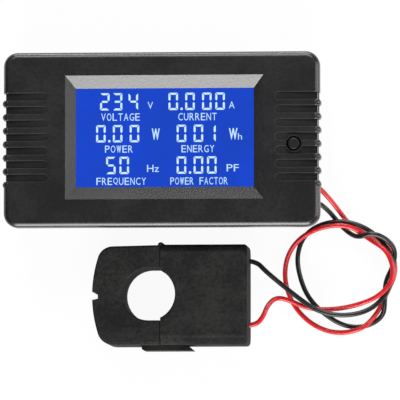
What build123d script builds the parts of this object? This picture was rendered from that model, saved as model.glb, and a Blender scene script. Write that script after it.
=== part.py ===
from build123d import *
import os
from math import dist, pi, radians, tan

# AC power meter that lies on its back, with its split current clamp and two leads beside it.
# Millimetres, +Z up out of the display, +X to the display's right, origin in the middle of
# the rear face.

# Meter housing
meter_depth = 24.4
bezel_length = 89.6
bezel_width = 49.6
bezel_thickness = 5.0
bezel_corner = 4.0
bezel_edge = 1.6
case_length = 86.0
case_width = 46.0
case_wall = 2.0
case_floor = 2.0
case_corner = 2.5
case_edge = 1.0
seat_depth = 0.3
seat_gap = 0.1

# Display window, which narrows towards the glass
window_x = 0.85
window_y = 0.6
view_depth = 2.2
view_end_margin = 15.75
view_side_margin = 7.0
flare_x = 2.85
flare_y = 3.55
glass_border = 2.4
glass_thickness = 2.2
glass_corner = 0.4
glass_gap = 0.1
backlight_thickness = 5.8
holder_wall = 1.4
holder_gap = 0.1
strip_width = 2.0

# Finger grooves at both ends of the bezel, with a rounded rib below each
rib_count = 7
rib_pitch = 3.84
rib_width = 1.78
rib_proud = 0.34
first_rib_y = 10.27
groove_gap = 3.35
groove_start_depth = 0.35
groove_end_depth = 1.15
groove_side_depth = 0.65
groove_end_round = 0.9
groove_chamfer = 0.2

# Button
button_inset = 5.5
button_y = -1.4
button_radius = 1.65
button_hole_radius = 2.1
button_ring_radius = 2.45
button_ring_proud = 0.12
button_proud = 0.3
button_edge = 0.4
button_flange_radius = 2.7
button_flange_thickness = 0.8
button_flange_drop = 2.8
button_recess_radius = 3.0
button_rest_gap = 0.15

# Switch under the button
switch_length = 6.0
switch_width = 3.5
switch_height = 4.3
plunger_radius = 1.0
plunger_gap = 0.05
plunger_depth = 2.0
plunger_room = 0.5
switch_edge = 0.2

# Skirt of the bezel inside the case, with snap barbs
skirt_gap = 0.15
skirt_wall = 1.2
barb_x = 25.0
barb_length = 6.0
barb_proud = 0.7
barb_drop = 2.2
barb_height = 1.4
barb_gap = 0.1

# Panel clips cut out of the end walls
clip_y = 12.0
clip_width = 8.0
clip_slot = 0.9
clip_root = 6.0
clip_ramp = 6.9
clip_proud = 1.3
clip_flat = 0.5
panel_max = 3.0

# Main board and what carries it
board_thickness = 1.6
board_edge_gap = 1.6
boss_inset_x = 4.6
boss_inset_y = 5.1
boss_radius = 2.5
screw_radius = 0.95
screw_head_radius = 1.9
screw_head_height = 1.3
screw_hole_gap = 0.2
screw_slot = 0.6
pilot_gap = 0.05
screw_reach = 4.0
wall_rib_inset = 7.0
wall_rib_middle = (-12.0, 18.0)
wall_rib_thickness = 1.2
wall_rib_reach = 3.0

# Screw terminals in the right end: two for the mains, two for the clamp's leads
way_count = 4
way_pitch = 5.0
block_side_gap = 1.6
block_depth = 10.5
block_gap = 0.1
block_wall = 0.9
block_end_wall = 2.0
screw_inset = 4.8
head_radius = 1.75
head_height = 1.6
head_recess = 0.5
head_room = 0.2
shank_radius = 1.25
shank_end_gap = 0.25
shank_gap = 0.05
shoulder = 0.75
access_radius = 2.0
cage_length = 5.0
cage_width = 3.9
cage_side = 0.7
cage_corner = 0.4
nut_thickness = 1.5
cage_wall = 0.8
cage_start_gap = 0.3
cage_head_room = 1.88
bar_gap = 1.1
bar_thickness = 0.8
bar_width = 2.3
bar_pin_width = 1.0
bar_pin_proud = 0.8
bar_pin_gap = 0.1
bar_end_gap = 0.3
ferrule_radius = 0.6
ferrule_length = 6.2
clamp_clearance = 0.02
wire_hole_radius = 1.5
entry_radius = 1.7

# Clamp, closed
clamp_gap = 4.5
clamp_length = 44.0
clamp_height = 28.5
clamp_depth = 18.0
clamp_edge = 3.0
clamp_end_edge = 1.0
split_offset = 3.2
split_gap = 0.2
hole_x = -4.1
hole_rise = 0.15
hole_radius = 7.5
hole_chamfer = 0.3
hole_wall = 1.2
clamp_wall = 1.2
clamp_floor = 1.4
clamp_back_depth = 3.0
jaw_wall = 1.0
jaw_edge = 0.8

# Jaw outline: sloping top, rounded corners, bulging end with a notch
jaw_top_drop = 0.25
jaw_corner_run = 5.8
jaw_corner_drop = 0.55
jaw_shoulder_run = 1.7
jaw_shoulder_drop = 3.05
jaw_corner_bulge = 0.8
notch_drop = 0.5
notch_depth = 1.7
notch_mouth = 2.4
notch_floor = 1.6

# Hinge of the jaw, at the top of the split
hinge_drop = 0.1
knuckle_radius = 0.85
knuckle_gap = 0.1
knuckle_start = 5.0
knuckle_length = 3.0
knuckle_end_gap = 0.1
pin_radius = 0.4
pin_gap = 0.03

# Latch tongue of the jaw, under the bottom of the body
tongue_root_reach = 5.5
tongue_reach = 9.2
tongue_undercut = 1.6
tongue_proud = 1.45
tongue_gap = 0.12
tongue_start = 5.0
tongue_width = 8.6
tongue_corner = 0.8
tongue_root = 0.5
catch_offset = 5.9
catch_height = 0.35
catch_ramp = 2.0
catch_gap = 0.1

# Split core and its coil
core_end_room = 3.6
core_side_gap = 0.6
core_hole_gap = 0.15
core_gap = 0.1
core_start = 4.0
core_front = 4.0
core_corner = 3.5
core_roof_gap = 0.05
pad_inset = 0.6
bobbin_wall = 0.8
bobbin_hole_gap = 0.65
bobbin_end_gap = 3.2
bobbin_rise = 1.5
coil_side_drop = 0.6
coil_rise = 1.1
coil_corner = 1.0
coil_clearance = 0.1
lead_board_thickness = 1.0
lead_board_room = 1.9
lead_board_half = 11.5
spring_thickness = 0.2
spring_bow = 0.35
spring_half = 5.4
spring_gap = 0.02
spring_width = 6.0
lead_exit_z = 7.0
black_exit_rise = 10.0
red_exit_drop = 8.7
lead_hole_gap = 0.1
lead_radius = 0.7

# Routes of the leads: past the case's end, along Y, and in layers above the table, where
# one layer is a lead and a small gap
lead_rest = 0.05
layer_gap = 0.15
lead_straight = 0.2
lead_bend = 1.5
red_route = [
    (3.0, -13.4, 4.68),
    (5.3, -16.4, 2.61),
    (7.8, -20.2, 0.48),
    (12.0, -24.2, 0.00),
    (17.4, -26.9, 0.00),
    (21.4, -31.0, 0.00),
    (22.3, -36.8, 0.00),
    (19.7, -42.4, 0.00),
    (17.2, -48.2, 0.00),
    (12.2, -53.2, 0.00),
    (4.6, -54.2, 0.00),
    (-2.4, -51.2, 0.00),
    (-7.4, -45.6, 0.00),
    (-9.7, -38.6, 0.23),
    (-8.7, -31.8, 1.77),
    (-4.6, -26.6, 3.26),
    (2.2, -23.6, 3.32),
    (9.6, -23.1, 3.32),
    (16.0, -26.4, 3.32),
    (20.8, -31.6, 3.32),
    (21.6, -37.9, 3.26),
    (17.2, -42.7, 3.13),
    (10.4, -45.2, 2.42),
    (3.2, -46.2, 2.10),
    (-3.6, -45.9, 2.10),
    (-8.4, -43.6, 2.29),
    (-11.6, -43.8, 2.68),
    (-14.0, -45.9, 3.39),
    (-15.4, -49.4, 4.03),
]
black_route = [
    (3.0, -17.8, 4.55),
    (5.2, -19.6, 2.35),
    (7.8, -22.4, 1.00),
    (12.0, -24.9, 1.00),
    (17.0, -25.6, 1.00),
    (20.9, -28.9, 1.00),
    (20.6, -34.0, 1.00),
    (18.5, -39.0, 1.00),
    (19.0, -44.4, 1.00),
    (18.0, -49.4, 1.00),
    (13.4, -52.4, 1.00),
    (7.4, -52.0, 1.00),
    (1.8, -48.6, 1.00),
    (-2.7, -44.0, 1.00),
    (-5.1, -38.2, 1.03),
    (-6.0, -32.0, 1.58),
    (-3.8, -25.9, 2.16),
    (2.0, -22.5, 2.29),
    (9.0, -22.2, 2.29),
    (15.4, -24.9, 2.23),
    (20.3, -29.9, 2.23),
    (22.0, -36.0, 2.16),
    (19.6, -42.2, 2.03),
    (14.2, -47.0, 2.35),
    (6.8, -48.6, 3.06),
    (-0.2, -47.2, 3.19),
    (-5.6, -42.9, 3.26),
    (-10.2, -39.0, 3.52),
    (-14.1, -35.4, 3.97),
]

# Components under the board. The outer ones keep their distance along X from the board's
# left end or from the terminal block, and the tall ones their room above the case's floor.
film_cap_inset = 16.9
film_cap_y = 10.5
film_cap_length = 18.0
film_cap_width = 8.5
film_cap_room = 1.6
film_cap_edge = 0.8
can_place = (-1.5, 11.0)
can_room = 2.6
can_length = 12.0
can_groove = 0.4
varistor_place = (10.5, 11.0)
varistor_room = 2.0
varistor_thickness = 3.6
varistor_edge = 1.2
fuse_inset = 7.4
fuse_y = 10.5
fuse_radius = 1.7
fuse_length = 9.0
fuse_waist = 1.3
bridge_inset = 4.4
bridge_y = -2.0
bridge_size = (4.7, 3.9, 1.6)
meter_chip_place = (-8.0, -6.5)
meter_chip_size = (15.4, 7.5, 2.3)
micro_inset = 12.4
micro_y = -6.5
micro_size = (7.0, 7.0, 1.4)
crystal_place = (10.5, -6.5)
crystal_size = (11.4, 4.6, 3.5)
pin_size = (0.4, 1.2, 0.3)
resistor_size = (2.0, 1.25, 0.5)
resistor_insets = (6.4, 3.4)
resistor_count = 6
resistor_pitch = 4.0
resistor_start_x = -4.0

# Housing places that follow from the sizes above
flange_back = meter_depth - bezel_thickness
case_top = flange_back + seat_depth
case_inner_length = case_length - 2 * case_wall
case_inner_width = case_width - 2 * case_wall
end_inner_x = case_length / 2 - case_wall
skirt_length = case_inner_length - 2 * skirt_gap
skirt_width = case_inner_width - 2 * skirt_gap
view_length = case_inner_length - 2 * view_end_margin
view_width = case_inner_width - 2 * view_side_margin
window_length = view_length + 2 * flare_x
window_width = view_width + 2 * flare_y
groove_start_x = window_x + window_length / 2 + groove_gap
glass_length = view_length + 2 * glass_border
glass_width = view_width + 2 * glass_border
glass_top = meter_depth - view_depth
glass_back = glass_top - glass_thickness
glass_low_y = window_y - glass_width / 2
board_top = glass_back - backlight_thickness
board_bottom = board_top - board_thickness
board_length = case_inner_length - 2 * board_edge_gap
board_width = case_inner_width - 2 * board_edge_gap
under_board = board_bottom - case_floor
boss_x = case_inner_length / 2 - boss_inset_x
boss_y = case_inner_width / 2 - boss_inset_y
boss_places = [(-boss_x, -boss_y), (-boss_x, boss_y), (boss_x, boss_y)]
wall_rib_places = (wall_rib_inset - end_inner_x, *wall_rib_middle)
barb_top = flange_back - barb_drop
clip_top = flange_back - panel_max
clip_ramp_start = clip_top - clip_ramp
clip_places = [(-1, clip_y), (-1, -clip_y), (1, clip_y)]
button_x = case_length / 2 - button_inset
button_flange_top = meter_depth - button_flange_drop

# Terminal block from its base up. The pieces under the wire share the height that is left.
way_top_y = way_pitch * (way_count - 0.5) + block_side_gap - case_inner_width / 2
way_places = [way_top_y - way_pitch * i for i in range(way_count)]
block_top_y = way_top_y + way_pitch / 2
block_right = end_inner_x - block_gap
block_left = block_right - block_depth
block_base = case_floor + block_gap
chamber_left = block_left + block_wall
chamber_right = block_right - block_end_wall
wire_room = 2 * ferrule_radius + clamp_clearance
stack_sizes = (
    head_recess,
    head_height,
    shank_gap,
    shoulder,
    cage_start_gap,
    nut_thickness,
    bar_gap,
    bar_thickness,
    cage_wall,
    cage_head_room,
)
stack_share = (board_bottom - block_base - wire_room) / sum(stack_sizes)
head_base = block_base + stack_share * head_recess
head_top = head_base + stack_share * head_height
chamber_floor = head_top + stack_share * (shank_gap + shoulder)
nut_base = chamber_floor + stack_share * cage_start_gap
nut_top = nut_base + stack_share * nut_thickness
bar_base = nut_top + stack_share * bar_gap
bar_top = bar_base + stack_share * bar_thickness
bar_left = chamber_left + bar_end_gap
wire_z = bar_top + ferrule_radius
cage_roof = bar_top + wire_room
cage_top = cage_roof + stack_share * cage_wall
screw_x = block_right - screw_inset
shank_length = bar_base - stack_share * shank_end_gap - head_top
cage_left = screw_x - cage_length / 2
lead_start_x = cage_left + ferrule_length

# Components that keep to the case's ends and floor
film_cap_x = film_cap_inset - board_length / 2
micro_x = micro_inset - board_length / 2
fuse_x = block_left - fuse_inset
bridge_x = block_left - bridge_inset
can_radius = (under_board - can_room) / 2
varistor_radius = (under_board - varistor_room) / 2

# Clamp, from the window outwards
clamp_top = -bezel_width / 2 - clamp_gap
clamp_bottom = clamp_top - clamp_height
hole_y = clamp_top - clamp_height / 2 + hole_rise
hole_wall_radius = hole_radius + hole_wall
core_inner_half = hole_wall_radius + core_gap
core_outer_half = clamp_height / 2 - clamp_wall - core_side_gap
core_leg = core_outer_half - core_inner_half
clamp_left = hole_x - hole_wall_radius - core_hole_gap - core_leg - core_end_room
clamp_right = clamp_left + clamp_length
core_left = clamp_left + core_end_room
core_depth = clamp_depth - core_start - core_front
core_top_z = core_start + core_depth
core_roof = core_top_z + core_roof_gap
pole_y = core_inner_half + core_leg / 2
pole_places = [(hole_y + side * pole_y, core_start + core_depth / 2) for side in (1, -1)]
split_x = hole_x + split_offset
body_face_x = split_x + split_gap / 2
jaw_face_x = split_x - split_gap / 2
jaw_corner_x = clamp_left + jaw_corner_run
jaw_shoulder_x = clamp_left + jaw_shoulder_run
notch_y = hole_y - notch_drop
hinge_y = clamp_top - hinge_drop
middle_knuckle_start = knuckle_start + knuckle_length + knuckle_end_gap
last_knuckle_start = middle_knuckle_start + knuckle_length + knuckle_end_gap
hinge_length = last_knuckle_start + knuckle_length - knuckle_start
tongue_left = split_x - tongue_root_reach
tongue_tip = split_x + tongue_reach
tongue_top = clamp_bottom - tongue_gap
catch_x = split_x + catch_offset
catch_reach = catch_height - tongue_gap + catch_gap

# Coil and lead board in the clamp's body, which share what the window leaves
lead_board_right = clamp_right - clamp_wall - lead_board_room
lead_board_left = lead_board_right - lead_board_thickness
tube_length = core_leg + 2 * (core_gap + bobbin_wall)
coil_room = lead_board_left - bobbin_end_gap - hole_x - hole_wall_radius - bobbin_hole_gap
bobbin_reach = (coil_room - tube_length) / 2
coil_side = bobbin_reach - coil_side_drop
bobbin_right = lead_board_left - bobbin_end_gap - bobbin_reach
bobbin_left = bobbin_right - tube_length
core_right = bobbin_right - core_gap - bobbin_wall
core_inner_right = core_right - core_leg
bobbin_base = core_start - core_gap - bobbin_wall
bobbin_top = core_top_z + core_gap + bobbin_wall
coil_half = core_inner_half - coil_clearance
black_exit_y = hole_y + black_exit_rise
red_exit_y = hole_y - red_exit_drop


def keep(part, label):
    """Labels a finished piece and writes it."""
    part.label = label
    export_step(part, f"parts/{label}.step")


def groove_slots(level):
    """The plan of the right end's grooves at a level: round inside, open at the end."""
    width = rib_pitch - rib_width
    places = [first_rib_y + rib_pitch / 2 - rib_pitch * i for i in range(rib_count)]
    with BuildSketch(Plane.XY.offset(level)) as slots:
        with Locations(*[(groove_start_x + width / 2, y) for y in places]):
            Circle(width / 2)
            Rectangle(bezel_length / 2, width, align=(Align.MIN, Align.CENTER))
    return slots.sketch


def bezel_grooves():
    """The grooves of the right end, deeper towards the end and rounded down its side."""
    over = meter_depth + groove_end_depth
    side_x = bezel_length / 2 - groove_side_depth
    with BuildPart() as grooves:
        add(groove_slots(flange_back - rib_proud))
        extrude(amount=over - flange_back)
        with BuildSketch(Plane.XZ):
            with BuildLine():
                Polyline(
                    (groove_start_x, over),
                    (groove_start_x, meter_depth - groove_start_depth),
                    (side_x, meter_depth - groove_end_depth),
                    (side_x, flange_back - rib_proud),
                    (bezel_length / 2 + rib_pitch, flange_back - rib_proud),
                    (bezel_length / 2 + rib_pitch, over),
                    close=True,
                )
            make_face()
            floor_end = vertices().sort_by_distance((side_x, 0, meter_depth - groove_end_depth))[0]
            fillet(floor_end, groove_end_round)
        extrude(amount=bezel_width / 2, both=True, mode=Mode.INTERSECT)
    return grooves.part


def groove_edges():
    """The chamfers round the tops of the right end's grooves."""
    with BuildPart() as edges:
        add(groove_slots(meter_depth - groove_chamfer))
        extrude(amount=2 * groove_chamfer, taper=-45)
    return edges.part


def bezel_ribs():
    """The rounded ribs of the right end, proud of the bezel's outline."""
    reach = bezel_length / 2 + rib_proud
    places = [first_rib_y - rib_pitch * i for i in range(rib_count)]
    with BuildPart() as ribs:
        with BuildSketch(Plane.XZ):
            with BuildLine():
                inner = Line((reach - rib_pitch, meter_depth), (reach - rib_pitch, flange_back))
                low = Line(inner @ 1, (reach, flange_back))
                side = Line(low @ 1, (reach, meter_depth - bezel_edge))
                edge = RadiusArc(side @ 1, (reach - bezel_edge, meter_depth), -bezel_edge)
                Line(edge @ 1, inner @ 0)
            make_face()
        extrude(amount=rib_width / 2, both=True)
        upright = ribs.edges().filter_by(Axis.Z).sort_by(Axis.X)[-2:]
        fillet(upright, rib_width * 0.45)
        rib = ribs.part
    with BuildPart() as group:
        with Locations(*[(0, y, 0) for y in places]):
            add(rib)
    return group.part


def frame_rectangle(gap, mode=Mode.ADD):
    """The rectangle of the display glass, grown all round by a gap."""
    return Rectangle(glass_length + 2 * gap, glass_width + 2 * gap, mode=mode)


def slotted_screw(radius, height, shank, length):
    """A screw with its head at z = 0 downwards and its shank up, slotted from below."""
    with BuildPart() as screw:
        Cylinder(radius, height, align=(Align.CENTER, Align.CENTER, Align.MAX))
        chamfer(screw.faces().sort_by(Axis.Z)[0].edges(), height / 5)
        Cylinder(shank, length, align=(Align.CENTER, Align.CENTER, Align.MIN))
        with Locations((0, 0, -height)):
            slot_align = (Align.CENTER, Align.CENTER, Align.MIN)
            Box(2 * radius, screw_slot, height / 2, align=slot_align, mode=Mode.SUBTRACT)
    return screw.part


def wire_cage(way_y):
    """The cage that one terminal screw draws along: a nut, two sides and a roof."""
    with BuildPart() as cage:
        with BuildSketch(Plane.YZ.offset(cage_left)):
            with Locations((way_y, nut_base)):
                tall = cage_top - nut_base
                Rectangle(cage_width, tall, align=(Align.CENTER, Align.MIN))
            fillet(vertices(), cage_corner)
            with Locations((way_y, nut_top)):
                Rectangle(
                    cage_width - 2 * cage_side,
                    cage_roof - nut_top,
                    align=(Align.CENTER, Align.MIN),
                    mode=Mode.SUBTRACT,
                )
        extrude(amount=cage_length)
        with BuildSketch(Plane.XY.offset(nut_base)):
            with Locations((screw_x, way_y)):
                Circle(shank_radius + shank_gap)
        extrude(amount=nut_top - nut_base, mode=Mode.SUBTRACT)
    return cage.part


def packaged_chip(place, size, along_count, across_count):
    """A chip under the board with feet along its long sides, and across it if it has them."""
    length, width, height = size
    foot, reach, thick = pin_size
    with BuildPart() as chip:
        with BuildSketch(Plane.XY.offset(board_bottom - height)):
            with Locations(place):
                Rectangle(length, width)
        extrude(amount=height)
        chamfer(chip.faces().sort_by(Axis.Z)[0].edges(), height / 6)
        with BuildSketch(Plane.XY.offset(board_bottom - thick)):
            with Locations(place):
                with GridLocations(length / (along_count + 1), width + reach, along_count, 2):
                    Rectangle(foot, reach)
                if across_count:
                    with GridLocations(length + reach, width / (across_count + 1), 2, across_count):
                        Rectangle(reach, foot)
        extrude(amount=thick)
    return chip.part


def bulge_point(start, end, height):
    """The point that stands off the middle of a chord by a height, to its right."""
    run = dist(start, end)
    middle_x = (start[0] + end[0]) / 2
    middle_y = (start[1] + end[1]) / 2
    along_x = (end[0] - start[0]) / run
    along_y = (end[1] - start[1]) / run
    return (middle_x + along_y * height, middle_y - along_x * height)


def jaw_outline():
    """The jaw seen from the front, without its notch and tongue."""
    top_start = (jaw_face_x, clamp_top - jaw_top_drop)
    top_end = (jaw_corner_x, clamp_top - jaw_corner_drop)
    high = (jaw_shoulder_x, top_end[1] - jaw_shoulder_drop)
    low = (jaw_shoulder_x, clamp_bottom + jaw_shoulder_drop)
    bottom_end = (jaw_corner_x, clamp_bottom)
    with BuildSketch() as outline:
        with BuildLine():
            Line(top_start, top_end)
            ThreePointArc(top_end, bulge_point(top_end, high, jaw_corner_bulge), high)
            ThreePointArc(high, (clamp_left, (high[1] + low[1]) / 2), low)
            ThreePointArc(low, bulge_point(low, bottom_end, jaw_corner_bulge), bottom_end)
            Line(bottom_end, (jaw_face_x, clamp_bottom))
            Line((jaw_face_x, clamp_bottom), top_start)
        make_face()
    return outline.sketch


def jaw_hole(radius):
    """The jaw's part of the conductor window: a half round with flats up to the split."""
    with BuildSketch() as window:
        with Locations((hole_x, hole_y)):
            Circle(radius)
            Rectangle(jaw_face_x - hole_x, 2 * radius, align=(Align.MIN, Align.CENTER))
        with Locations((jaw_face_x, hole_y)):
            right_of_split = (Align.MIN, Align.CENTER)
            Rectangle(2 * radius, 2 * radius, align=right_of_split, mode=Mode.SUBTRACT)
    return window.sketch


def body_hole(radius):
    """The body's part of the conductor window, on the window's circle."""
    with BuildSketch() as window:
        with Locations((hole_x, hole_y)):
            Circle(radius)
        with Locations((body_face_x, hole_y)):
            left_of_split = (Align.MAX, Align.CENTER)
            Rectangle(3 * radius, 2 * radius, align=left_of_split, mode=Mode.SUBTRACT)
    return window.sketch


def jaw_blank():
    """The whole outside of the jaw, before it is parted into shell and back."""
    mouth_x = clamp_left - notch_depth
    mouth_half = notch_mouth - notch_floor / 2
    with BuildPart() as blank:
        add(jaw_outline())
        extrude(amount=clamp_depth)
        faces_z = blank.faces().filter_by(Axis.Z)
        rims = faces_z[0].edges() + faces_z[1].edges()
        fillet(rims.filter_by(lambda e: e.center().X < jaw_face_x - jaw_edge), jaw_edge)
        add(jaw_hole(hole_radius))
        extrude(amount=clamp_depth, mode=Mode.SUBTRACT)
        for rim_z, up in ((clamp_depth - hole_chamfer, 1), (hole_chamfer, -1)):
            with BuildSketch(Plane.XY.offset(rim_z)):
                add(jaw_hole(hole_radius))
            extrude(amount=up * hole_chamfer, taper=-45, mode=Mode.SUBTRACT)
        with BuildSketch():
            with BuildLine():
                Polyline(
                    (mouth_x, notch_y + mouth_half),
                    (clamp_left + notch_depth, notch_y + notch_floor / 2),
                    (clamp_left + notch_depth, notch_y - notch_floor / 2),
                    (mouth_x, notch_y - mouth_half),
                    close=True,
                )
            make_face()
        extrude(amount=clamp_depth, mode=Mode.SUBTRACT)
    return blank.part


def body_blank():
    """The whole outside of the clamp's body, before it is parted into shell and back."""
    with BuildPart() as blank:
        with BuildSketch(Plane.YZ.offset(body_face_x)):
            with Locations(((clamp_top + clamp_bottom) / 2, clamp_depth / 2)):
                RectangleRounded(clamp_top - clamp_bottom, clamp_depth, clamp_edge)
        extrude(amount=clamp_right - body_face_x)
        fillet(blank.faces().sort_by(Axis.X)[-1].edges(), clamp_end_edge)
        add(body_hole(hole_radius))
        extrude(amount=clamp_depth, mode=Mode.SUBTRACT)
        for rim_z, up in ((clamp_depth - hole_chamfer, 1), (hole_chamfer, -1)):
            with BuildSketch(Plane.XY.offset(rim_z)):
                add(body_hole(hole_radius))
            extrude(amount=up * hole_chamfer, taper=-45, mode=Mode.SUBTRACT)
    return blank.part


def core_half(side):
    """The half of the core to the left (-1) or right (1) of the split."""
    face = split_x + side * core_gap / 2
    with BuildPart() as half:
        with BuildSketch(Plane.XY.offset(core_start)):
            with Locations(((core_left + core_right) / 2, hole_y)):
                RectangleRounded(core_right - core_left, 2 * core_outer_half, core_corner)
            with Locations(((core_left + core_leg + core_inner_right) / 2, hole_y)):
                Rectangle(
                    core_inner_right - core_left - core_leg,
                    2 * core_inner_half,
                    mode=Mode.SUBTRACT,
                )
        extrude(amount=core_depth)
        split(bisect_by=Plane(origin=(face, 0, 0), z_dir=(side, 0, 0)), keep=Keep.TOP)
    return half.part


def core_pads(left, right):
    """Pads on a clamp back's floor that carry the core's two legs."""
    with BuildSketch(Plane.XY.offset(clamp_floor)) as pads:
        with Locations(*[((left + right) / 2, hole_y + side * pole_y) for side in (1, -1)]):
            Rectangle(right - left, core_leg - 2 * pad_inset)
    return pads.sketch


def body_cavity():
    """The hollow of the clamp's body, seen from the front."""
    left = body_face_x + clamp_wall
    with BuildSketch() as hollow:
        with Locations((left, clamp_top - clamp_wall)):
            Rectangle(
                clamp_right - clamp_wall - left,
                clamp_top - clamp_bottom - 2 * clamp_wall,
                align=(Align.MIN, Align.MAX),
            )
        with Locations((hole_x, hole_y)):
            Circle(hole_wall_radius, mode=Mode.SUBTRACT)
    return hollow.sketch


def coil_pocket():
    """The deeper hollow round the coil and its bobbin, seen from the front."""
    with BuildSketch() as pocket:
        with Locations((bobbin_left - bobbin_reach - coil_clearance, hole_y)):
            Rectangle(
                bobbin_right - bobbin_left + 2 * (bobbin_reach + coil_clearance),
                2 * core_inner_half,
                align=(Align.MIN, Align.CENTER),
            )
    return pocket.sketch


def jaw_cavity():
    """The hollow of the jaw, seen from the front, with walls round window and notch."""
    with BuildSketch() as hollow:
        add(jaw_outline())
        offset(amount=-jaw_wall)
        add(jaw_hole(hole_wall_radius), mode=Mode.SUBTRACT)
        with Locations((clamp_left, notch_y)):
            Rectangle(
                2 * (notch_depth + jaw_wall),
                notch_floor + 2 * jaw_wall + notch_depth / 3,
                mode=Mode.SUBTRACT,
            )
    return hollow.sketch


def lead_tube(route, way_y, exit_y, name):
    """A lead from its ferrule to the clamp: straight runs and arcs as large as they allow."""
    first_layer = lead_rest + lead_radius
    layer = 2 * lead_radius + layer_gap
    points = [
        (lead_start_x, way_y, wire_z),
        (case_length / 2 + lead_straight, way_y, wire_z),
        *[(case_length / 2 + x, y, first_layer + layer * level) for x, y, level in route],
        (clamp_right + lead_bend, exit_y, lead_exit_z),
        (lead_board_right, exit_y, lead_exit_z),
    ]
    radii = []
    for before, corner, after in zip(points, points[1:], points[2:]):
        first = Vector(corner) - Vector(before)
        second = Vector(after) - Vector(corner)
        turn = radians(first.get_angle(second))
        radii.append(0.45 * min(first.length, second.length) / tan(turn / 2))
    with BuildPart() as lead:
        with BuildLine() as route:
            path = FilletPolyline(*points, radius=radii)
        with BuildSketch(Plane(origin=path @ 0, z_dir=path % 0)):
            Circle(lead_radius)
        sweep(path=route.line)
    share = lead.part.volume / (pi * lead_radius**2 * path.length)
    shown = ", ".join(f"{radius:.1f}" for radius in radii)
    print(f"{name}: length {path.length:.1f}, volume share {share:.4f}, radii {shown}")
    return lead.part


os.makedirs("parts", exist_ok=True)

# Front bezel: window and glass pocket, finger grooves, button hole, skirt, snap barbs, bosses
with BuildPart() as front_bezel:
    with BuildSketch(Plane.XY.offset(flange_back)):
        RectangleRounded(bezel_length, bezel_width, bezel_corner)
    extrude(amount=bezel_thickness)
    fillet(front_bezel.faces().sort_by(Axis.Z)[-1].edges(), bezel_edge)
    grooves = bezel_grooves()
    ribs = bezel_ribs()
    add(grooves, mode=Mode.SUBTRACT)
    add(mirror(grooves, about=Plane.YZ, mode=Mode.PRIVATE), mode=Mode.SUBTRACT)
    add(ribs)
    add(mirror(ribs, about=Plane.YZ, mode=Mode.PRIVATE))
    chamfers = groove_edges()
    add(chamfers, mode=Mode.SUBTRACT)
    add(mirror(chamfers, about=Plane.YZ, mode=Mode.PRIVATE), mode=Mode.SUBTRACT)
    with BuildSketch(Plane.XY.offset(button_flange_top)):
        with Locations((button_x, button_y)):
            Circle(button_ring_radius)
    extrude(amount=meter_depth + button_ring_proud - button_flange_top)
    with BuildSketch(Plane.XY.offset(meter_depth)):
        with Locations((window_x, window_y)):
            Rectangle(window_length, window_width)
    with BuildSketch(Plane.XY.offset(glass_top)):
        with Locations((window_x, window_y)):
            Rectangle(view_length, view_width)
    loft(mode=Mode.SUBTRACT)
    with BuildSketch(Plane.XY.offset(flange_back)):
        with Locations((window_x, window_y)):
            frame_rectangle(glass_gap)
    extrude(amount=glass_top - flange_back, mode=Mode.SUBTRACT)
    with BuildSketch(Plane.XY.offset(board_top)):
        RectangleRounded(skirt_length, skirt_width, case_corner - case_wall + skirt_wall)
        Rectangle(skirt_length - 2 * skirt_wall, skirt_width - 2 * skirt_wall, mode=Mode.SUBTRACT)
        with Locations(*boss_places):
            Circle(boss_radius)
    extrude(amount=flange_back - board_top)
    with BuildSketch(Plane.XY.offset(board_top)):
        with Locations(*boss_places):
            Circle(screw_radius + pilot_gap)
    extrude(amount=screw_reach + pilot_gap, mode=Mode.SUBTRACT)
    with BuildSketch(Plane.XY.offset(flange_back)):
        with Locations((button_x, button_y)):
            Circle(button_recess_radius)
    extrude(amount=button_flange_top + button_rest_gap - flange_back, mode=Mode.SUBTRACT)
    with BuildSketch(Plane.XY.offset(flange_back)):
        with Locations((button_x, button_y)):
            Circle(button_hole_radius)
    extrude(amount=bezel_thickness + 2 * button_ring_proud, mode=Mode.SUBTRACT)
    barb_planes = [Plane.YZ.offset(x - barb_length / 2) for x in (-barb_x, barb_x)]
    for side in (1, -1):
        wall_y = side * skirt_width / 2
        root_y = wall_y - side * skirt_wall / 2
        with BuildSketch(*barb_planes):
            with BuildLine():
                Polyline(
                    (root_y, barb_top),
                    (wall_y + side * barb_proud, barb_top),
                    (wall_y + side * barb_proud, barb_top - barb_height / 3),
                    (wall_y, barb_top - barb_height),
                    (root_y, barb_top - barb_height),
                    close=True,
                )
            make_face()
        extrude(amount=barb_length)
    with BuildSketch(Plane.XY.offset(board_top)):
        with Locations(*[(side * skirt_length / 2, y) for side, y in clip_places]):
            Rectangle(2 * skirt_wall, clip_width + 2 * clip_slot)
    extrude(amount=flange_back - board_top, mode=Mode.SUBTRACT)
    with BuildSketch(Plane.XY.offset(flange_back)):
        RectangleRounded(
            case_length + 2 * seat_gap, case_width + 2 * seat_gap, case_corner + seat_gap
        )
        RectangleRounded(
            case_inner_length, case_inner_width, case_corner - case_wall / 2, mode=Mode.SUBTRACT
        )
    extrude(amount=seat_depth, mode=Mode.SUBTRACT)
keep(front_bezel.part, "front_bezel")

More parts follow.
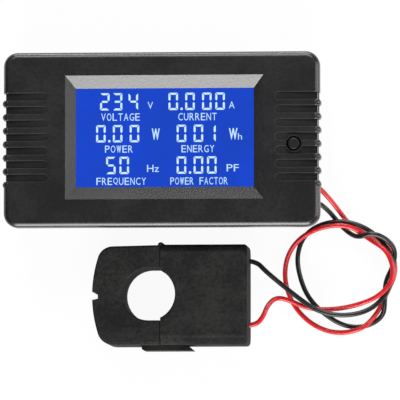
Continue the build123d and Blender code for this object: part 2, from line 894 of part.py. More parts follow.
# Rear case: tub with wire entries, screw holes, panel clips and ribs under the board
with BuildPart() as rear_case:
    with BuildSketch():
        RectangleRounded(case_length, case_width, case_corner)
    extrude(amount=case_top)
    fillet(rear_case.faces().sort_by(Axis.Z)[0].edges(), case_edge)
    with BuildSketch(Plane.XY.offset(case_floor)):
        RectangleRounded(case_inner_length, case_inner_width, case_corner - case_wall / 2)
    extrude(amount=case_top - case_floor, mode=Mode.SUBTRACT)
    with BuildSketch(Plane.XY.offset(case_floor)):
        for side in (1, -1):
            rib_y = side * (case_inner_width / 2 - wall_rib_reach / 2)
            with Locations(*[(x, rib_y) for x in wall_rib_places]):
                Rectangle(wall_rib_thickness, wall_rib_reach)
    extrude(amount=board_bottom - case_floor)
    for side in (1, -1):
        with BuildSketch(Plane.XZ.offset(-side * case_inner_width / 2)):
            with Locations((-barb_x, barb_top + barb_gap), (barb_x, barb_top + barb_gap)):
                Rectangle(
                    barb_length + 2 * barb_gap,
                    barb_height + 2 * barb_gap,
                    align=(Align.CENTER, Align.MAX),
                )
        extrude(amount=-side * (barb_proud + barb_gap - skirt_gap), mode=Mode.SUBTRACT)
    for side, place in clip_places:
        face = side * case_length / 2
        with BuildSketch(Plane.YZ.offset(face - side * case_wall)):
            with Locations((place, clip_root)):
                Rectangle(
                    clip_width + 2 * clip_slot,
                    clip_top + clip_slot - clip_root,
                    align=(Align.CENTER, Align.MIN),
                )
                Rectangle(
                    clip_width,
                    clip_top - clip_root,
                    align=(Align.CENTER, Align.MIN),
                    mode=Mode.SUBTRACT,
                )
        extrude(amount=side * case_wall, mode=Mode.SUBTRACT)
        with BuildSketch(Plane.XZ.offset(-place - clip_width / 2)):
            with BuildLine():
                Polyline(
                    (face - side * case_wall / 2, clip_ramp_start),
                    (face, clip_ramp_start),
                    (face + side * clip_proud, clip_top - clip_flat),
                    (face + side * clip_proud, clip_top),
                    (face - side * case_wall / 2, clip_top),
                    close=True,
                )
            make_face()
        extrude(amount=clip_width)
    with BuildSketch():
        with Locations(*[(screw_x, y) for y in way_places]):
            Circle(access_radius)
    extrude(amount=case_floor, mode=Mode.SUBTRACT)
    with BuildSketch(Plane.YZ.offset(end_inner_x)):
        with Locations(*[(y, wire_z) for y in way_places]):
            Circle(entry_radius)
    extrude(amount=case_wall, mode=Mode.SUBTRACT)
keep(rear_case.part, "rear_case")

# Display: glass in the bezel's pocket, light guide, contact strip and holder
with BuildPart() as lcd_glass:
    with BuildSketch(Plane.XY.offset(glass_back)):
        with Locations((window_x, window_y)):
            frame_rectangle(0)
    extrude(amount=glass_thickness)
    chamfer(lcd_glass.edges().filter_by(Axis.Z), glass_corner)
keep(lcd_glass.part, "lcd_glass")

with BuildPart() as lcd_backlight:
    with BuildSketch(Plane.XY.offset(board_top)):
        with Locations((window_x, window_y + glass_width / 2)):
            Rectangle(
                glass_length,
                glass_width - strip_width - holder_gap,
                align=(Align.CENTER, Align.MAX),
            )
    extrude(amount=backlight_thickness)
keep(lcd_backlight.part, "lcd_backlight")

with BuildPart() as contact_strip:
    with BuildSketch(Plane.XY.offset(board_top)):
        with Locations((window_x, glass_low_y)):
            Rectangle(view_length, strip_width, align=(Align.CENTER, Align.MIN))
    extrude(amount=backlight_thickness)
keep(contact_strip.part, "contact_strip")

with BuildPart() as lcd_holder:
    with BuildSketch(Plane.XY.offset(board_top)):
        with Locations((window_x, window_y)):
            frame_rectangle(holder_gap + holder_wall)
            frame_rectangle(holder_gap, mode=Mode.SUBTRACT)
    extrude(amount=flange_back - board_top)
keep(lcd_holder.part, "lcd_holder")

# Button, plunger and switch on the board
with BuildPart() as button_cap:
    with BuildSketch(Plane.XY.offset(button_flange_top - button_flange_thickness)):
        with Locations((button_x, button_y)):
            Circle(button_flange_radius)
    extrude(amount=button_flange_thickness)
    with BuildSketch(Plane.XY.offset(button_flange_top)):
        with Locations((button_x, button_y)):
            Circle(button_radius)
    extrude(amount=meter_depth + button_proud - button_flange_top)
    fillet(button_cap.faces().sort_by(Axis.Z)[-1].edges(), button_edge)
keep(button_cap.part, "button_cap")

switch_top = board_top + switch_height
with BuildPart() as switch_body:
    with BuildSketch(Plane.XY.offset(board_top)):
        with Locations((button_x, button_y)):
            Rectangle(switch_width, switch_length)
    extrude(amount=switch_height)
    chamfer(switch_body.faces().sort_by(Axis.Z)[-1].edges(), switch_edge)
    with BuildSketch(Plane.XY.offset(switch_top)):
        with Locations((button_x, button_y)):
            Circle(plunger_radius + plunger_gap)
    extrude(amount=-plunger_depth - plunger_room, mode=Mode.SUBTRACT)
keep(switch_body.part, "switch_body")

plunger_length = button_flange_top - button_flange_thickness - switch_top + plunger_depth
with BuildPart() as switch_plunger:
    with Locations((button_x, button_y, switch_top - plunger_depth)):
        Cylinder(plunger_radius, plunger_length, align=(Align.CENTER, Align.CENTER, Align.MIN))
keep(switch_plunger.part, "switch_plunger")

# Main board and its three screws up into the bezel's bosses
with BuildPart() as main_pcb:
    with BuildSketch(Plane.XY.offset(board_bottom)):
        RectangleRounded(board_length, board_width, board_edge_gap / 2)
        with Locations(*boss_places):
            Circle(screw_radius + screw_hole_gap, mode=Mode.SUBTRACT)
        with Locations(*[(bar_left + bar_thickness / 2, y) for y in way_places]):
            Rectangle(
                bar_thickness + 2 * bar_pin_gap,
                bar_pin_width + 2 * bar_pin_gap,
                mode=Mode.SUBTRACT,
            )
    extrude(amount=board_thickness)
keep(main_pcb.part, "main_pcb")

pcb_shank = board_thickness + screw_reach
pcb_screw = slotted_screw(screw_head_radius, screw_head_height, screw_radius, pcb_shank)
with BuildPart() as pcb_screws:
    with Locations(*[(x, y, board_bottom) for x, y in boss_places]):
        add(pcb_screw)
keep(pcb_screws.part, "pcb_screws")

# Screw terminals: block, bars soldered through the board, screws, cages, ferrules
with BuildPart() as terminal_block:
    with Locations((block_left, block_top_y, block_base)):
        Box(
            block_depth,
            way_pitch * way_count,
            board_bottom - block_base,
            align=(Align.MIN, Align.MAX, Align.MIN),
        )
    chamber_x = (chamber_left + chamber_right) / 2
    with BuildSketch(Plane.XY.offset(chamber_floor)):
        with Locations(*[(chamber_x, y) for y in way_places]):
            Rectangle(chamber_right - chamber_left, way_pitch - block_wall)
    extrude(amount=board_bottom - chamber_floor, mode=Mode.SUBTRACT)
    with BuildSketch(Plane.XY.offset(block_base)):
        with Locations(*[(screw_x, y) for y in way_places]):
            Circle(head_radius + head_room)
    extrude(amount=head_top + stack_share * shank_gap - block_base, mode=Mode.SUBTRACT)
    with BuildSketch(Plane.XY.offset(head_top)):
        with Locations(*[(screw_x, y) for y in way_places]):
            Circle(shank_radius + shank_gap)
    extrude(amount=chamber_floor - head_top, mode=Mode.SUBTRACT)
    with BuildSketch(Plane.YZ.offset(chamber_right)):
        with Locations(*[(y, wire_z) for y in way_places]):
            Circle(wire_hole_radius)
    extrude(amount=block_end_wall, mode=Mode.SUBTRACT)
keep(terminal_block.part, "terminal_block")

with BuildPart() as terminal_bars:
    bar_right = chamber_right - bar_end_gap
    with BuildSketch(Plane.XY.offset(bar_base)):
        with Locations(*[((bar_left + bar_right) / 2, y) for y in way_places]):
            Rectangle(bar_right - bar_left, bar_width)
    extrude(amount=bar_top - bar_base)
    with BuildSketch(Plane.XY.offset(bar_top)):
        with Locations(*[(bar_left + bar_thickness / 2, y) for y in way_places]):
            Rectangle(bar_thickness, bar_pin_width)
    extrude(amount=board_top + bar_pin_proud - bar_top)
keep(terminal_bars.part, "terminal_bars")

terminal_screw = slotted_screw(head_radius, head_top - head_base, shank_radius, shank_length)
for number, way_y in enumerate(way_places, start=1):
    with BuildPart() as placed_screw:
        with Locations((screw_x, way_y, head_top)):
            add(terminal_screw)
    keep(placed_screw.part, f"terminal_screw_{number}")
    keep(wire_cage(way_y), f"wire_cage_{number}")

red_way_y, black_way_y = way_places[-2:]
with BuildPart() as wire_ferrules:
    with BuildSketch(Plane.YZ.offset(cage_left)):
        with Locations((red_way_y, wire_z), (black_way_y, wire_z)):
            Circle(ferrule_radius)
    extrude(amount=ferrule_length)
keep(wire_ferrules.part, "wire_ferrules")

# Components under the board
with BuildPart() as film_capacitor:
    with Locations((film_cap_x, film_cap_y, board_bottom)):
        film_cap_height = under_board - film_cap_room
        film_cap_align = (Align.CENTER, Align.CENTER, Align.MAX)
        Box(film_cap_length, film_cap_width, film_cap_height, align=film_cap_align)
    fillet(film_capacitor.edges().filter_by(Axis.Z), film_cap_edge)
    fillet(film_capacitor.faces().sort_by(Axis.Z)[0].edges(), film_cap_edge)
keep(film_capacitor.part, "film_capacitor")

with BuildPart() as electrolytic_capacitor:
    groove_x = can_place[0] + can_length / 2 - 3 * can_groove
    with BuildSketch(Plane.YZ.offset(can_place[0] - can_length / 2)):
        with Locations((can_place[1], board_bottom - can_radius)):
            Circle(can_radius)
    extrude(amount=can_length)
    fillet(electrolytic_capacitor.edges().filter_by(GeomType.CIRCLE), can_groove)
    with BuildSketch(Plane.YZ.offset(groove_x - can_groove)):
        with Locations((can_place[1], board_bottom - can_radius)):
            Circle(can_radius)
            Circle(can_radius - can_groove, mode=Mode.SUBTRACT)
    extrude(amount=can_groove, mode=Mode.SUBTRACT)
keep(electrolytic_capacitor.part, "electrolytic_capacitor")

with BuildPart() as varistor:
    with BuildSketch(Plane.YZ.offset(varistor_place[0] - varistor_thickness / 2)):
        with Locations((varistor_place[1], board_bottom - varistor_radius)):
            Circle(varistor_radius)
    extrude(amount=varistor_thickness)
    fillet(varistor.edges().filter_by(GeomType.CIRCLE), varistor_edge)
keep(varistor.part, "varistor")

with BuildPart() as fusible_resistor:
    half = fuse_length / 2
    cap = fuse_length / 4
    with BuildSketch(Plane.XZ.offset(-fuse_y)):
        with BuildLine():
            Polyline(
                (-half, 0),
                (-half, fuse_radius),
                (-half + cap, fuse_radius),
                (-half + cap, fuse_waist),
                (half - cap, fuse_waist),
                (half - cap, fuse_radius),
                (half, fuse_radius),
                (half, 0),
                close=True,
            )
        make_face()
    revolve(axis=Axis((0, fuse_y, 0), (1, 0, 0)))
    round_edges = fusible_resistor.edges().filter_by(GeomType.CIRCLE)
    wide = round_edges.filter_by(lambda e: e.radius > fuse_waist)
    fillet(wide, (fuse_radius - fuse_waist) / 2)
fuse_at = Location((fuse_x, 0, board_bottom - fuse_radius))
keep(fusible_resistor.part.moved(fuse_at), "fusible_resistor")

keep(packaged_chip((bridge_x, bridge_y), bridge_size, 2, 0), "bridge_rectifier")
keep(packaged_chip(meter_chip_place, meter_chip_size, 12, 0), "metering_chip")
keep(packaged_chip((micro_x, micro_y), micro_size, 8, 8), "microcontroller")

with BuildPart() as crystal:
    length, width, height = crystal_size
    with BuildSketch(Plane.XY.offset(board_bottom - height)):
        with Locations(crystal_place):
            SlotOverall(length, width)
    extrude(amount=height)
    fillet(crystal.faces().sort_by(Axis.Z)[0].edges(), height / 7)
keep(crystal.part, "crystal")

with BuildPart() as chip_resistors:
    length, width, height = resistor_size
    with BuildSketch(Plane.XY.offset(board_bottom - height)):
        for inset in resistor_insets:
            row_y = inset - board_width / 2
            row = [(resistor_start_x + resistor_pitch * i, row_y) for i in range(resistor_count)]
            with Locations(*row):
                Rectangle(length, width)
    extrude(amount=height)
keep(chip_resistors.part, "chip_resistors")

# Clamp body: front shell and the back tray that carries the core's fixed half
body_whole = body_blank()
with BuildPart() as clamp_body:
    add(body_whole)
    split(bisect_by=Plane.XY.offset(clamp_back_depth), keep=Keep.TOP)
    with BuildSketch(Plane.XY.offset(clamp_back_depth)):
        add(body_cavity())
    extrude(amount=core_roof - clamp_back_depth, mode=Mode.SUBTRACT)
    with BuildSketch(Plane.XY.offset(clamp_back_depth)):
        add(coil_pocket())
    pocket_top = bobbin_top + bobbin_rise + coil_clearance
    extrude(amount=pocket_top - clamp_back_depth, mode=Mode.SUBTRACT)
    with BuildSketch(Plane.YZ.offset(body_face_x)):
        with Locations(*pole_places):
            Rectangle(core_leg + 2 * core_gap, core_depth + 2 * core_roof_gap)
    extrude(amount=clamp_wall, mode=Mode.SUBTRACT)
    with BuildSketch(Plane.YZ.offset(clamp_right - clamp_wall)):
        with Locations((black_exit_y, lead_exit_z), (red_exit_y, lead_exit_z)):
            Circle(lead_radius + lead_hole_gap)
    extrude(amount=clamp_wall, mode=Mode.SUBTRACT)
    with BuildSketch(Plane.XY.offset(tongue_start - catch_gap)):
        with BuildLine():
            Polyline(
                (catch_x + catch_height + catch_gap, clamp_bottom),
                (catch_x + catch_gap, clamp_bottom + catch_reach),
                (catch_x - catch_ramp - 4 * catch_gap, clamp_bottom),
                close=True,
            )
        make_face()
    extrude(amount=tongue_width + 2 * catch_gap, mode=Mode.SUBTRACT)
    for start in (knuckle_start, last_knuckle_start):
        with BuildSketch(Plane.XY.offset(start - knuckle_end_gap)):
            with Locations((split_x, hinge_y)):
                Circle(knuckle_radius + knuckle_gap)
        extrude(amount=knuckle_length + 2 * knuckle_end_gap, mode=Mode.SUBTRACT)
    with BuildSketch(Plane.XY.offset(middle_knuckle_start)):
        with Locations((split_x, hinge_y)):
            Circle(knuckle_radius)
    extrude(amount=knuckle_length)
    with BuildSketch(Plane.XY.offset(knuckle_start)):
        with Locations((split_x, hinge_y)):
            Circle(pin_radius + pin_gap)
    extrude(amount=hinge_length, mode=Mode.SUBTRACT)
keep(clamp_body.part, "clamp_body")

with BuildPart() as clamp_body_back:
    add(body_whole)
    split(bisect_by=Plane.XY.offset(clamp_back_depth), keep=Keep.BOTTOM)
    with BuildSketch(Plane.XY.offset(clamp_floor)):
        add(body_cavity())
    extrude(amount=clamp_back_depth - clamp_floor, mode=Mode.SUBTRACT)
    add(core_pads(body_face_x + clamp_wall, core_inner_right))
    extrude(amount=core_start - core_roof_gap - clamp_floor)
keep(clamp_body_back.part, "clamp_body_back")

# Clamp jaw: front shell with hinge knuckles and latch tongue, and its back tray
jaw_whole = jaw_blank()
with BuildPart() as clamp_jaw_shell:
    add(jaw_whole)
    split(bisect_by=Plane.XY.offset(clamp_back_depth), keep=Keep.TOP)
    with BuildSketch(Plane.XY.offset(clamp_back_depth)):
        add(jaw_cavity())
    extrude(amount=core_roof - clamp_back_depth, mode=Mode.SUBTRACT)
    with BuildSketch(Plane.YZ.offset(jaw_face_x - jaw_wall)):
        with Locations(*pole_places):
            Rectangle(core_leg + 2 * core_gap, core_depth + 2 * core_roof_gap)
    extrude(amount=jaw_wall, mode=Mode.SUBTRACT)
    with BuildSketch(Plane.XY.offset(middle_knuckle_start - knuckle_end_gap)):
        with Locations((split_x, hinge_y)):
            Circle(knuckle_radius + knuckle_gap)
    extrude(amount=knuckle_length + 2 * knuckle_end_gap, mode=Mode.SUBTRACT)
    for start in (knuckle_start, last_knuckle_start):
        with BuildSketch(Plane.XY.offset(start)):
            with Locations((split_x, hinge_y)):
                Circle(knuckle_radius)
        extrude(amount=knuckle_length)
    with BuildSketch(Plane.XY.offset(knuckle_start)):
        with Locations((split_x, hinge_y)):
            Circle(pin_radius + pin_gap)
    extrude(amount=hinge_length, mode=Mode.SUBTRACT)
    with BuildSketch(Plane.XY.offset(tongue_start)):
        with BuildLine():
            Polyline(
                (tongue_left, clamp_bottom + tongue_root),
                (tongue_left, clamp_bottom - tongue_proud),
                (tongue_tip, clamp_bottom - tongue_proud),
                (tongue_tip - tongue_undercut, tongue_top),
                (catch_x + catch_height, tongue_top),
                (catch_x, tongue_top + catch_height),
                (catch_x - catch_ramp, tongue_top),
                (jaw_face_x, tongue_top),
                (jaw_face_x, clamp_bottom + tongue_root),
                close=True,
            )
        make_face()
        fillet(vertices().group_by(Axis.Y)[0].sort_by(Axis.X)[0], tongue_corner)
    extrude(amount=tongue_width)
keep(clamp_jaw_shell.part, "clamp_jaw_shell")

with BuildPart() as clamp_jaw_back:
    add(jaw_whole)
    split(bisect_by=Plane.XY.offset(clamp_back_depth), keep=Keep.BOTTOM)
    with BuildSketch(Plane.XY.offset(clamp_floor)):
        add(jaw_cavity())
    extrude(amount=clamp_back_depth - clamp_floor, mode=Mode.SUBTRACT)
    add(core_pads(core_left + core_corner, jaw_face_x - jaw_wall))
    extrude(amount=core_start - core_roof_gap - clamp_floor)
keep(clamp_jaw_back.part, "clamp_jaw_back")

with BuildPart() as hinge_pin:
    with Locations((split_x, hinge_y, knuckle_start)):
        Cylinder(pin_radius, hinge_length, align=(Align.CENTER, Align.CENTER, Align.MIN))
keep(hinge_pin.part, "hinge_pin")

# Core halves, the spring that presses the jaw's half forward, bobbin and winding
keep(core_half(1), "fixed_core")
keep(core_half(-1), "moving_core")

with BuildPart() as core_spring:
    rest_x = core_left - spring_gap
    with BuildSketch(Plane.XY.offset(core_start + core_depth / 2 - spring_width / 2)):
        with BuildLine():
            inner_arc = ThreePointArc(
                (rest_x, notch_y + spring_half),
                (rest_x - spring_bow, notch_y),
                (rest_x, notch_y - spring_half),
            )
            outer_arc = ThreePointArc(
                (rest_x - spring_thickness, notch_y + spring_half),
                (rest_x - spring_bow - spring_thickness, notch_y),
                (rest_x - spring_thickness, notch_y - spring_half),
            )
            Line(inner_arc @ 0, outer_arc @ 0)
            Line(inner_arc @ 1, outer_arc @ 1)
        make_face()
    extrude(amount=spring_width)
keep(core_spring.part, "core_spring")

bobbin_x = (bobbin_left + bobbin_right) / 2
bobbin_z = (bobbin_base + bobbin_top) / 2
coil_start = Plane.XZ.offset(-hole_y - coil_half)
tube_size = (bobbin_right - bobbin_left, bobbin_top - bobbin_base)
with BuildPart() as bobbin:
    with BuildSketch(coil_start):
        with Locations((bobbin_x, bobbin_z)):
            Rectangle(*tube_size)
    extrude(amount=2 * coil_half)
    with BuildSketch(coil_start, coil_start.offset(2 * coil_half - bobbin_wall)):
        with Locations((bobbin_x, bobbin_z)):
            Rectangle(tube_size[0] + 2 * bobbin_reach, tube_size[1] + 2 * bobbin_rise)
    extrude(amount=bobbin_wall)
    with BuildSketch(coil_start):
        with Locations((bobbin_x, bobbin_z)):
            Rectangle(tube_size[0] - 2 * bobbin_wall, tube_size[1] - 2 * bobbin_wall)
    extrude(amount=2 * coil_half, mode=Mode.SUBTRACT)
keep(bobbin.part, "bobbin")

with BuildPart() as winding:
    with BuildSketch(coil_start.offset(bobbin_wall)):
        with Locations((bobbin_x, bobbin_z)):
            RectangleRounded(tube_size[0] + 2 * coil_side, tube_size[1] + 2 * coil_rise, coil_corner)
            Rectangle(*tube_size, mode=Mode.SUBTRACT)
    extrude(amount=2 * (coil_half - bobbin_wall))
keep(winding.part, "winding")

with BuildPart() as lead_board:
    with Locations((lead_board_right, hole_y, clamp_floor)):
        Box(
            lead_board_thickness,
            2 * lead_board_half,
            core_top_z - clamp_floor,
            align=(Align.MAX, Align.CENTER, Align.MIN),
        )
keep(lead_board.part, "lead_board")

# Leads from the ferrules to the lead board
keep(lead_tube(red_route, red_way_y, red_exit_y, "red"), "red_lead")
keep(lead_tube(black_route, black_way_y, black_exit_y, "black"), "black_lead")
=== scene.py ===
"""Looks, light and camera for an AC power meter with a split current clamp.

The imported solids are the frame. This script adds the display's lit figures, the numbers at
the wire entries and the two leads, and gives every solid its finish.
"""

import logging
import math
from collections.abc import Callable
from dataclasses import dataclass, field
from enum import Enum

import bpy
from mathutils import Matrix, Vector


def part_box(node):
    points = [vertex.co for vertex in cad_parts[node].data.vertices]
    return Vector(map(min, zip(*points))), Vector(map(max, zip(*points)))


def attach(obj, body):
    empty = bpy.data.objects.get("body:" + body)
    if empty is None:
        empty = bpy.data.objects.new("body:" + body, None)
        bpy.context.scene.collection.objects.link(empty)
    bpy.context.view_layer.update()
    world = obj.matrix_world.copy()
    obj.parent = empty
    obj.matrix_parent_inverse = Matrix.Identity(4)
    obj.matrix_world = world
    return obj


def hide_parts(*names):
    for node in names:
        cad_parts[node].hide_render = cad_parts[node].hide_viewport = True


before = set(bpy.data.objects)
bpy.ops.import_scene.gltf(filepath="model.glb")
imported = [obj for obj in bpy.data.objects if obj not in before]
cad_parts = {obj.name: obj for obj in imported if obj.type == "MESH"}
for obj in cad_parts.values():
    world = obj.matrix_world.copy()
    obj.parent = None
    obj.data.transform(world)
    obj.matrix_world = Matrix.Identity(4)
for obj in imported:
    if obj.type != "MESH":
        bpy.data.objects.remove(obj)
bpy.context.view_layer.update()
LOG = logging.getLogger("power_meter")
MM = 0.001
WHITE = "#FFFFFF"


def linear(colour: str) -> tuple[float, float, float, float]:
    """Turns an sRGB hex colour into linear light.

    Args:
        colour: six hex digits after a hash sign.

    Returns:
        Red, green, blue and an alpha of one.
    """
    values = [int(colour[i : i + 2], 16) / 255 for i in (1, 3, 5)]
    bent = [v / 12.92 if v <= 0.04045 else ((v + 0.055) / 1.055) ** 2.4 for v in values]
    return (bent[0], bent[1], bent[2], 1.0)


def put(
    tree: bpy.types.NodeTree,
    kind: str,
    inputs: dict[str | int, object] | None = None,
    stops: dict[float, str] | None = None,
    feeds: bpy.types.NodeSocket | None = None,
    **settings: object,
) -> bpy.types.Node:
    """Adds one node with its settings, socket values, colour stops and links.

    Args:
        tree: the material's or the world's nodes.
        kind: the node's type name.
        inputs: for each input socket a value, or the output socket that feeds it.
        stops: for a ramp alone, the hex colour at each of its values.
        feeds: the input socket that its first output feeds.
        settings: attributes of the node itself.

    Returns:
        The new node.
    """
    node = tree.nodes.new(kind)
    for name, value in settings.items():
        setattr(node, name, value)
    for name, value in (inputs or {}).items():
        if isinstance(value, bpy.types.NodeSocket):
            tree.links.new(value, node.inputs[name])
        else:
            node.inputs[name].default_value = value
    if stops:
        marks = node.color_ramp.elements
        while len(marks) < len(stops):
            marks.new(0.5)
        for mark, (position, colour) in zip(marks, sorted(stops.items())):
            mark.position = position
            mark.color = linear(colour)
    if feeds is not None:
        tree.links.new(node.outputs[0], feeds)
    return node


def reckon(
    tree: bpy.types.NodeTree, operation: str, *values: bpy.types.NodeSocket | float
) -> bpy.types.NodeSocket:
    """Adds a node that works something out from numbers or sockets.

    Args:
        tree: the material's nodes.
        operation: the node's own word for it.
        values: what it works on, in the node's order.

    Returns:
        The socket with the result.
    """
    inputs = dict(enumerate(values))
    return put(tree, "ShaderNodeMath", inputs, operation=operation).outputs[0]


def raise_relief(
    tree: bpy.types.NodeTree,
    shader: bpy.types.Node,
    height: bpy.types.NodeSocket,
    strength: float,
    depth_mm: float,
) -> None:
    """Raises a surface where a pattern's value is high.

    Args:
        tree: the material's nodes.
        shader: the surface.
        height: the socket with the pattern's value.
        strength: how much of the relief shows, where 1 is all of it.
        depth_mm: how high a value of one stands.
    """
    values = {"Height": height, "Strength": strength, "Distance": depth_mm * MM}
    put(tree, "ShaderNodeBump", values, feeds=shader.inputs["Normal"])


class Axis(Enum):
    """The direction of a pattern: along its lines, or from layer to layer."""

    X = 0
    Y = 1
    Z = 2


@dataclass(frozen=True)
class Finish:
    """What every finish has: a name, a colour, and how it takes light."""

    name: str
    colour: str
    roughness: float = 0.5
    metallic: float = 0.0
    specular: float = 0.5
    coat: float = 0.0
    coat_roughness: float = 0.12

    def material(self) -> bpy.types.Material:
        """Makes the material the first time, and finds the same one after that.

        Returns:
            The material that has this finish's name.
        """
        ready = bpy.data.materials.get(self.name)
        if ready:
            return ready
        made = bpy.data.materials.new(self.name)
        made.use_nodes = True
        tree = made.node_tree
        tree.nodes.clear()
        values = {
            "Base Color": linear(self.colour),
            "Roughness": self.roughness,
            "Metallic": self.metallic,
            "Specular IOR Level": self.specular,
            "Coat Weight": self.coat,
            "Coat Roughness": self.coat_roughness,
        }
        shader = put(tree, "ShaderNodeBsdfPrincipled", values)
        put(tree, "ShaderNodeOutputMaterial", {"Surface": shader.outputs["BSDF"]})
        self.pattern(tree, shader)
        return made

    def pattern(self, tree: bpy.types.NodeTree, shader: bpy.types.Node) -> None:
        """Adds what the surface shows beyond one colour; each kind of finish has its own.

        Args:
            tree: the material's nodes.
            shader: the surface that they feed.
        """


@dataclass(frozen=True)
class MouldedPlastic(Finish):
    """Plastic and the like from an eroded mould: a fine even grain and a faint cloudiness.

    Attributes:
        shade: the darker colour, between the grains.
        grain_mm: how wide a grain is.
        depth_mm: how high a grain stands.
        cloud_mm: how wide the faint clouds are.
        lift: what is added to grain times cloud, before it picks a colour.
        shade_to: the value up to which the shade shows.
        colour_from: the value from which the full colour shows.
        slope_to: the upward part of the normal, up to which a face is a slope.
        level_from: the upward part from which a face is level.
        edge_roughness: how rough the slopes are, where they differ from level faces.
        slot_roughness: how rough the slopes in the field of slots are, where it has one.
        slot_field_mm: how far out the middle of that field is, and its half width and height.
    """

    shade: str = "#000000"
    grain_mm: float = 0.5
    depth_mm: float = 0.02
    cloud_mm: float = 9.0
    lift: float = 0.12
    shade_to: float = 0.28
    colour_from: float = 0.48
    slope_to: float = 0.9
    level_from: float = 0.995
    edge_roughness: float | None = None
    slot_roughness: float = 0.0
    slot_field_mm: tuple[float, float, float] = (0.0, 0.0, 0.0)

    def slope_roughness(
        self, tree: bpy.types.NodeTree, point: bpy.types.NodeSocket
    ) -> bpy.types.NodeSocket | float:
        """Finds the roughness of slopes: polished, but dull in the field of slots at each end.

        Args:
            tree: the material's nodes.
            point: the socket that gives a point's place.

        Returns:
            The socket with the roughness at that place, or one number for all places.
        """
        if not self.slot_roughness:
            return self.edge_roughness
        middle, half_width, half_height = (value * MM for value in self.slot_field_mm)
        spot = put(tree, "ShaderNodeSeparateXYZ", {"Vector": point})
        out = reckon(tree, "ABSOLUTE", spot.outputs["X"])
        in_width = reckon(tree, "COMPARE", out, middle, half_width)
        in_height = reckon(tree, "COMPARE", spot.outputs["Y"], 0.0, half_height)
        in_field = reckon(tree, "MULTIPLY", in_width, in_height)
        dull = reckon(tree, "MULTIPLY", in_field, self.slot_roughness)
        return reckon(tree, "MAXIMUM", dull, self.edge_roughness)

    def pattern(self, tree: bpy.types.NodeTree, shader: bpy.types.Node) -> None:
        """Mixes two near colours over the grain, raises it and sets the slopes' sheen apart."""
        point = put(tree, "ShaderNodeTexCoord").outputs["Object"]
        grain = put(
            tree,
            "ShaderNodeTexNoise",
            {"Vector": point, "Scale": 1 / (self.grain_mm * MM), "Detail": 2.0, "Roughness": 0.6},
        )
        cloud = put(
            tree, "ShaderNodeTexNoise", {"Vector": point, "Scale": 1 / (self.cloud_mm * MM)}
        )
        height = grain.outputs["Fac"]
        put(
            tree,
            "ShaderNodeValToRGB",
            {"Fac": reckon(tree, "MULTIPLY_ADD", height, cloud.outputs["Fac"], self.lift)},
            {self.shade_to: self.shade, self.colour_from: self.colour},
            shader.inputs["Base Color"],
        )
        raise_relief(tree, shader, height, strength=0.6, depth_mm=self.depth_mm)
        if self.edge_roughness is None:
            return
        facing = put(tree, "ShaderNodeNewGeometry").outputs["Normal"]
        put(
            tree,
            "ShaderNodeMapRange",
            {
                "Value": put(tree, "ShaderNodeSeparateXYZ", {"Vector": facing}).outputs["Z"],
                "From Min": self.slope_to,
                "From Max": self.level_from,
                "To Min": self.slope_roughness(tree, point),
                "To Max": self.roughness,
            },
            feeds=shader.inputs["Roughness"],
        )


@dataclass(frozen=True)
class BrushedMetal(Finish):
    """Plated or rolled metal: fine lines along one direction that stretch its shine.

    Attributes:
        along: the direction of the lines.
        line_mm: how wide a line is.
        depth_mm: how deep it is.
        drawn_out: the lines' width as a share of their length.
        smoothest: the least roughness, as a share of the metal's own.
        roughest: the most, as a share of it.
    """

    along: Axis = Axis.X
    line_mm: float = 0.15
    depth_mm: float = 0.01
    drawn_out: float = 0.03
    smoothest: float = 0.7
    roughest: float = 1.35

    def pattern(self, tree: bpy.types.NodeTree, shader: bpy.types.Node) -> None:
        """Varies roughness and height over noise that is drawn out along the lines."""
        stretch = [1.0, 1.0, 1.0]
        stretch[self.along.value] = self.drawn_out
        point = put(tree, "ShaderNodeTexCoord").outputs["Object"]
        turned = put(tree, "ShaderNodeMapping", {"Vector": point, "Scale": stretch})
        scale = 1 / (self.line_mm * MM)
        lines = put(
            tree,
            "ShaderNodeTexNoise",
            {"Vector": turned.outputs["Vector"], "Scale": scale, "Detail": 3.0},
        )
        put(
            tree,
            "ShaderNodeMapRange",
            {
                "Value": lines.outputs["Fac"],
                "To Min": self.roughness * self.smoothest,
                "To Max": self.roughness * self.roughest,
            },
            feeds=shader.inputs["Roughness"],
        )
        raise_relief(tree, shader, lines.outputs["Fac"], strength=0.3, depth_mm=self.depth_mm)


@dataclass(frozen=True)
class Layered(Finish):
    """Something made of many equal layers or turns, with a dark line between them.

    Attributes:
        gap: the colour between two layers.
        layer_mm: how thick a layer is.
        stacked: the direction from layer to layer.
        gap_to: the height, as a share, up to which the gap shows.
        colour_from: the height from which the full colour shows.
    """

    gap: str = "#000000"
    layer_mm: float = 0.5
    stacked: Axis = Axis.Z
    gap_to: float = 0.04
    colour_from: float = 0.3

    def pattern(self, tree: bpy.types.NodeTree, shader: bpy.types.Node) -> None:
        """Draws the layers as bands of a sine wave and gives each a rounded height."""
        point = put(tree, "ShaderNodeTexCoord").outputs["Object"]
        # One band of the wave texture is a tenth of pi wide at a scale of one.
        wave = put(
            tree,
            "ShaderNodeTexWave",
            {"Vector": point, "Scale": math.pi / 10 / (self.layer_mm * MM)},
            wave_type="BANDS",
            bands_direction=self.stacked.name,
        )
        put(
            tree,
            "ShaderNodeValToRGB",
            {"Fac": wave.outputs["Fac"]},
            {self.gap_to: self.gap, self.colour_from: self.colour},
            shader.inputs["Base Color"],
        )
        raise_relief(tree, shader, wave.outputs["Fac"], strength=0.7, depth_mm=self.layer_mm / 4)


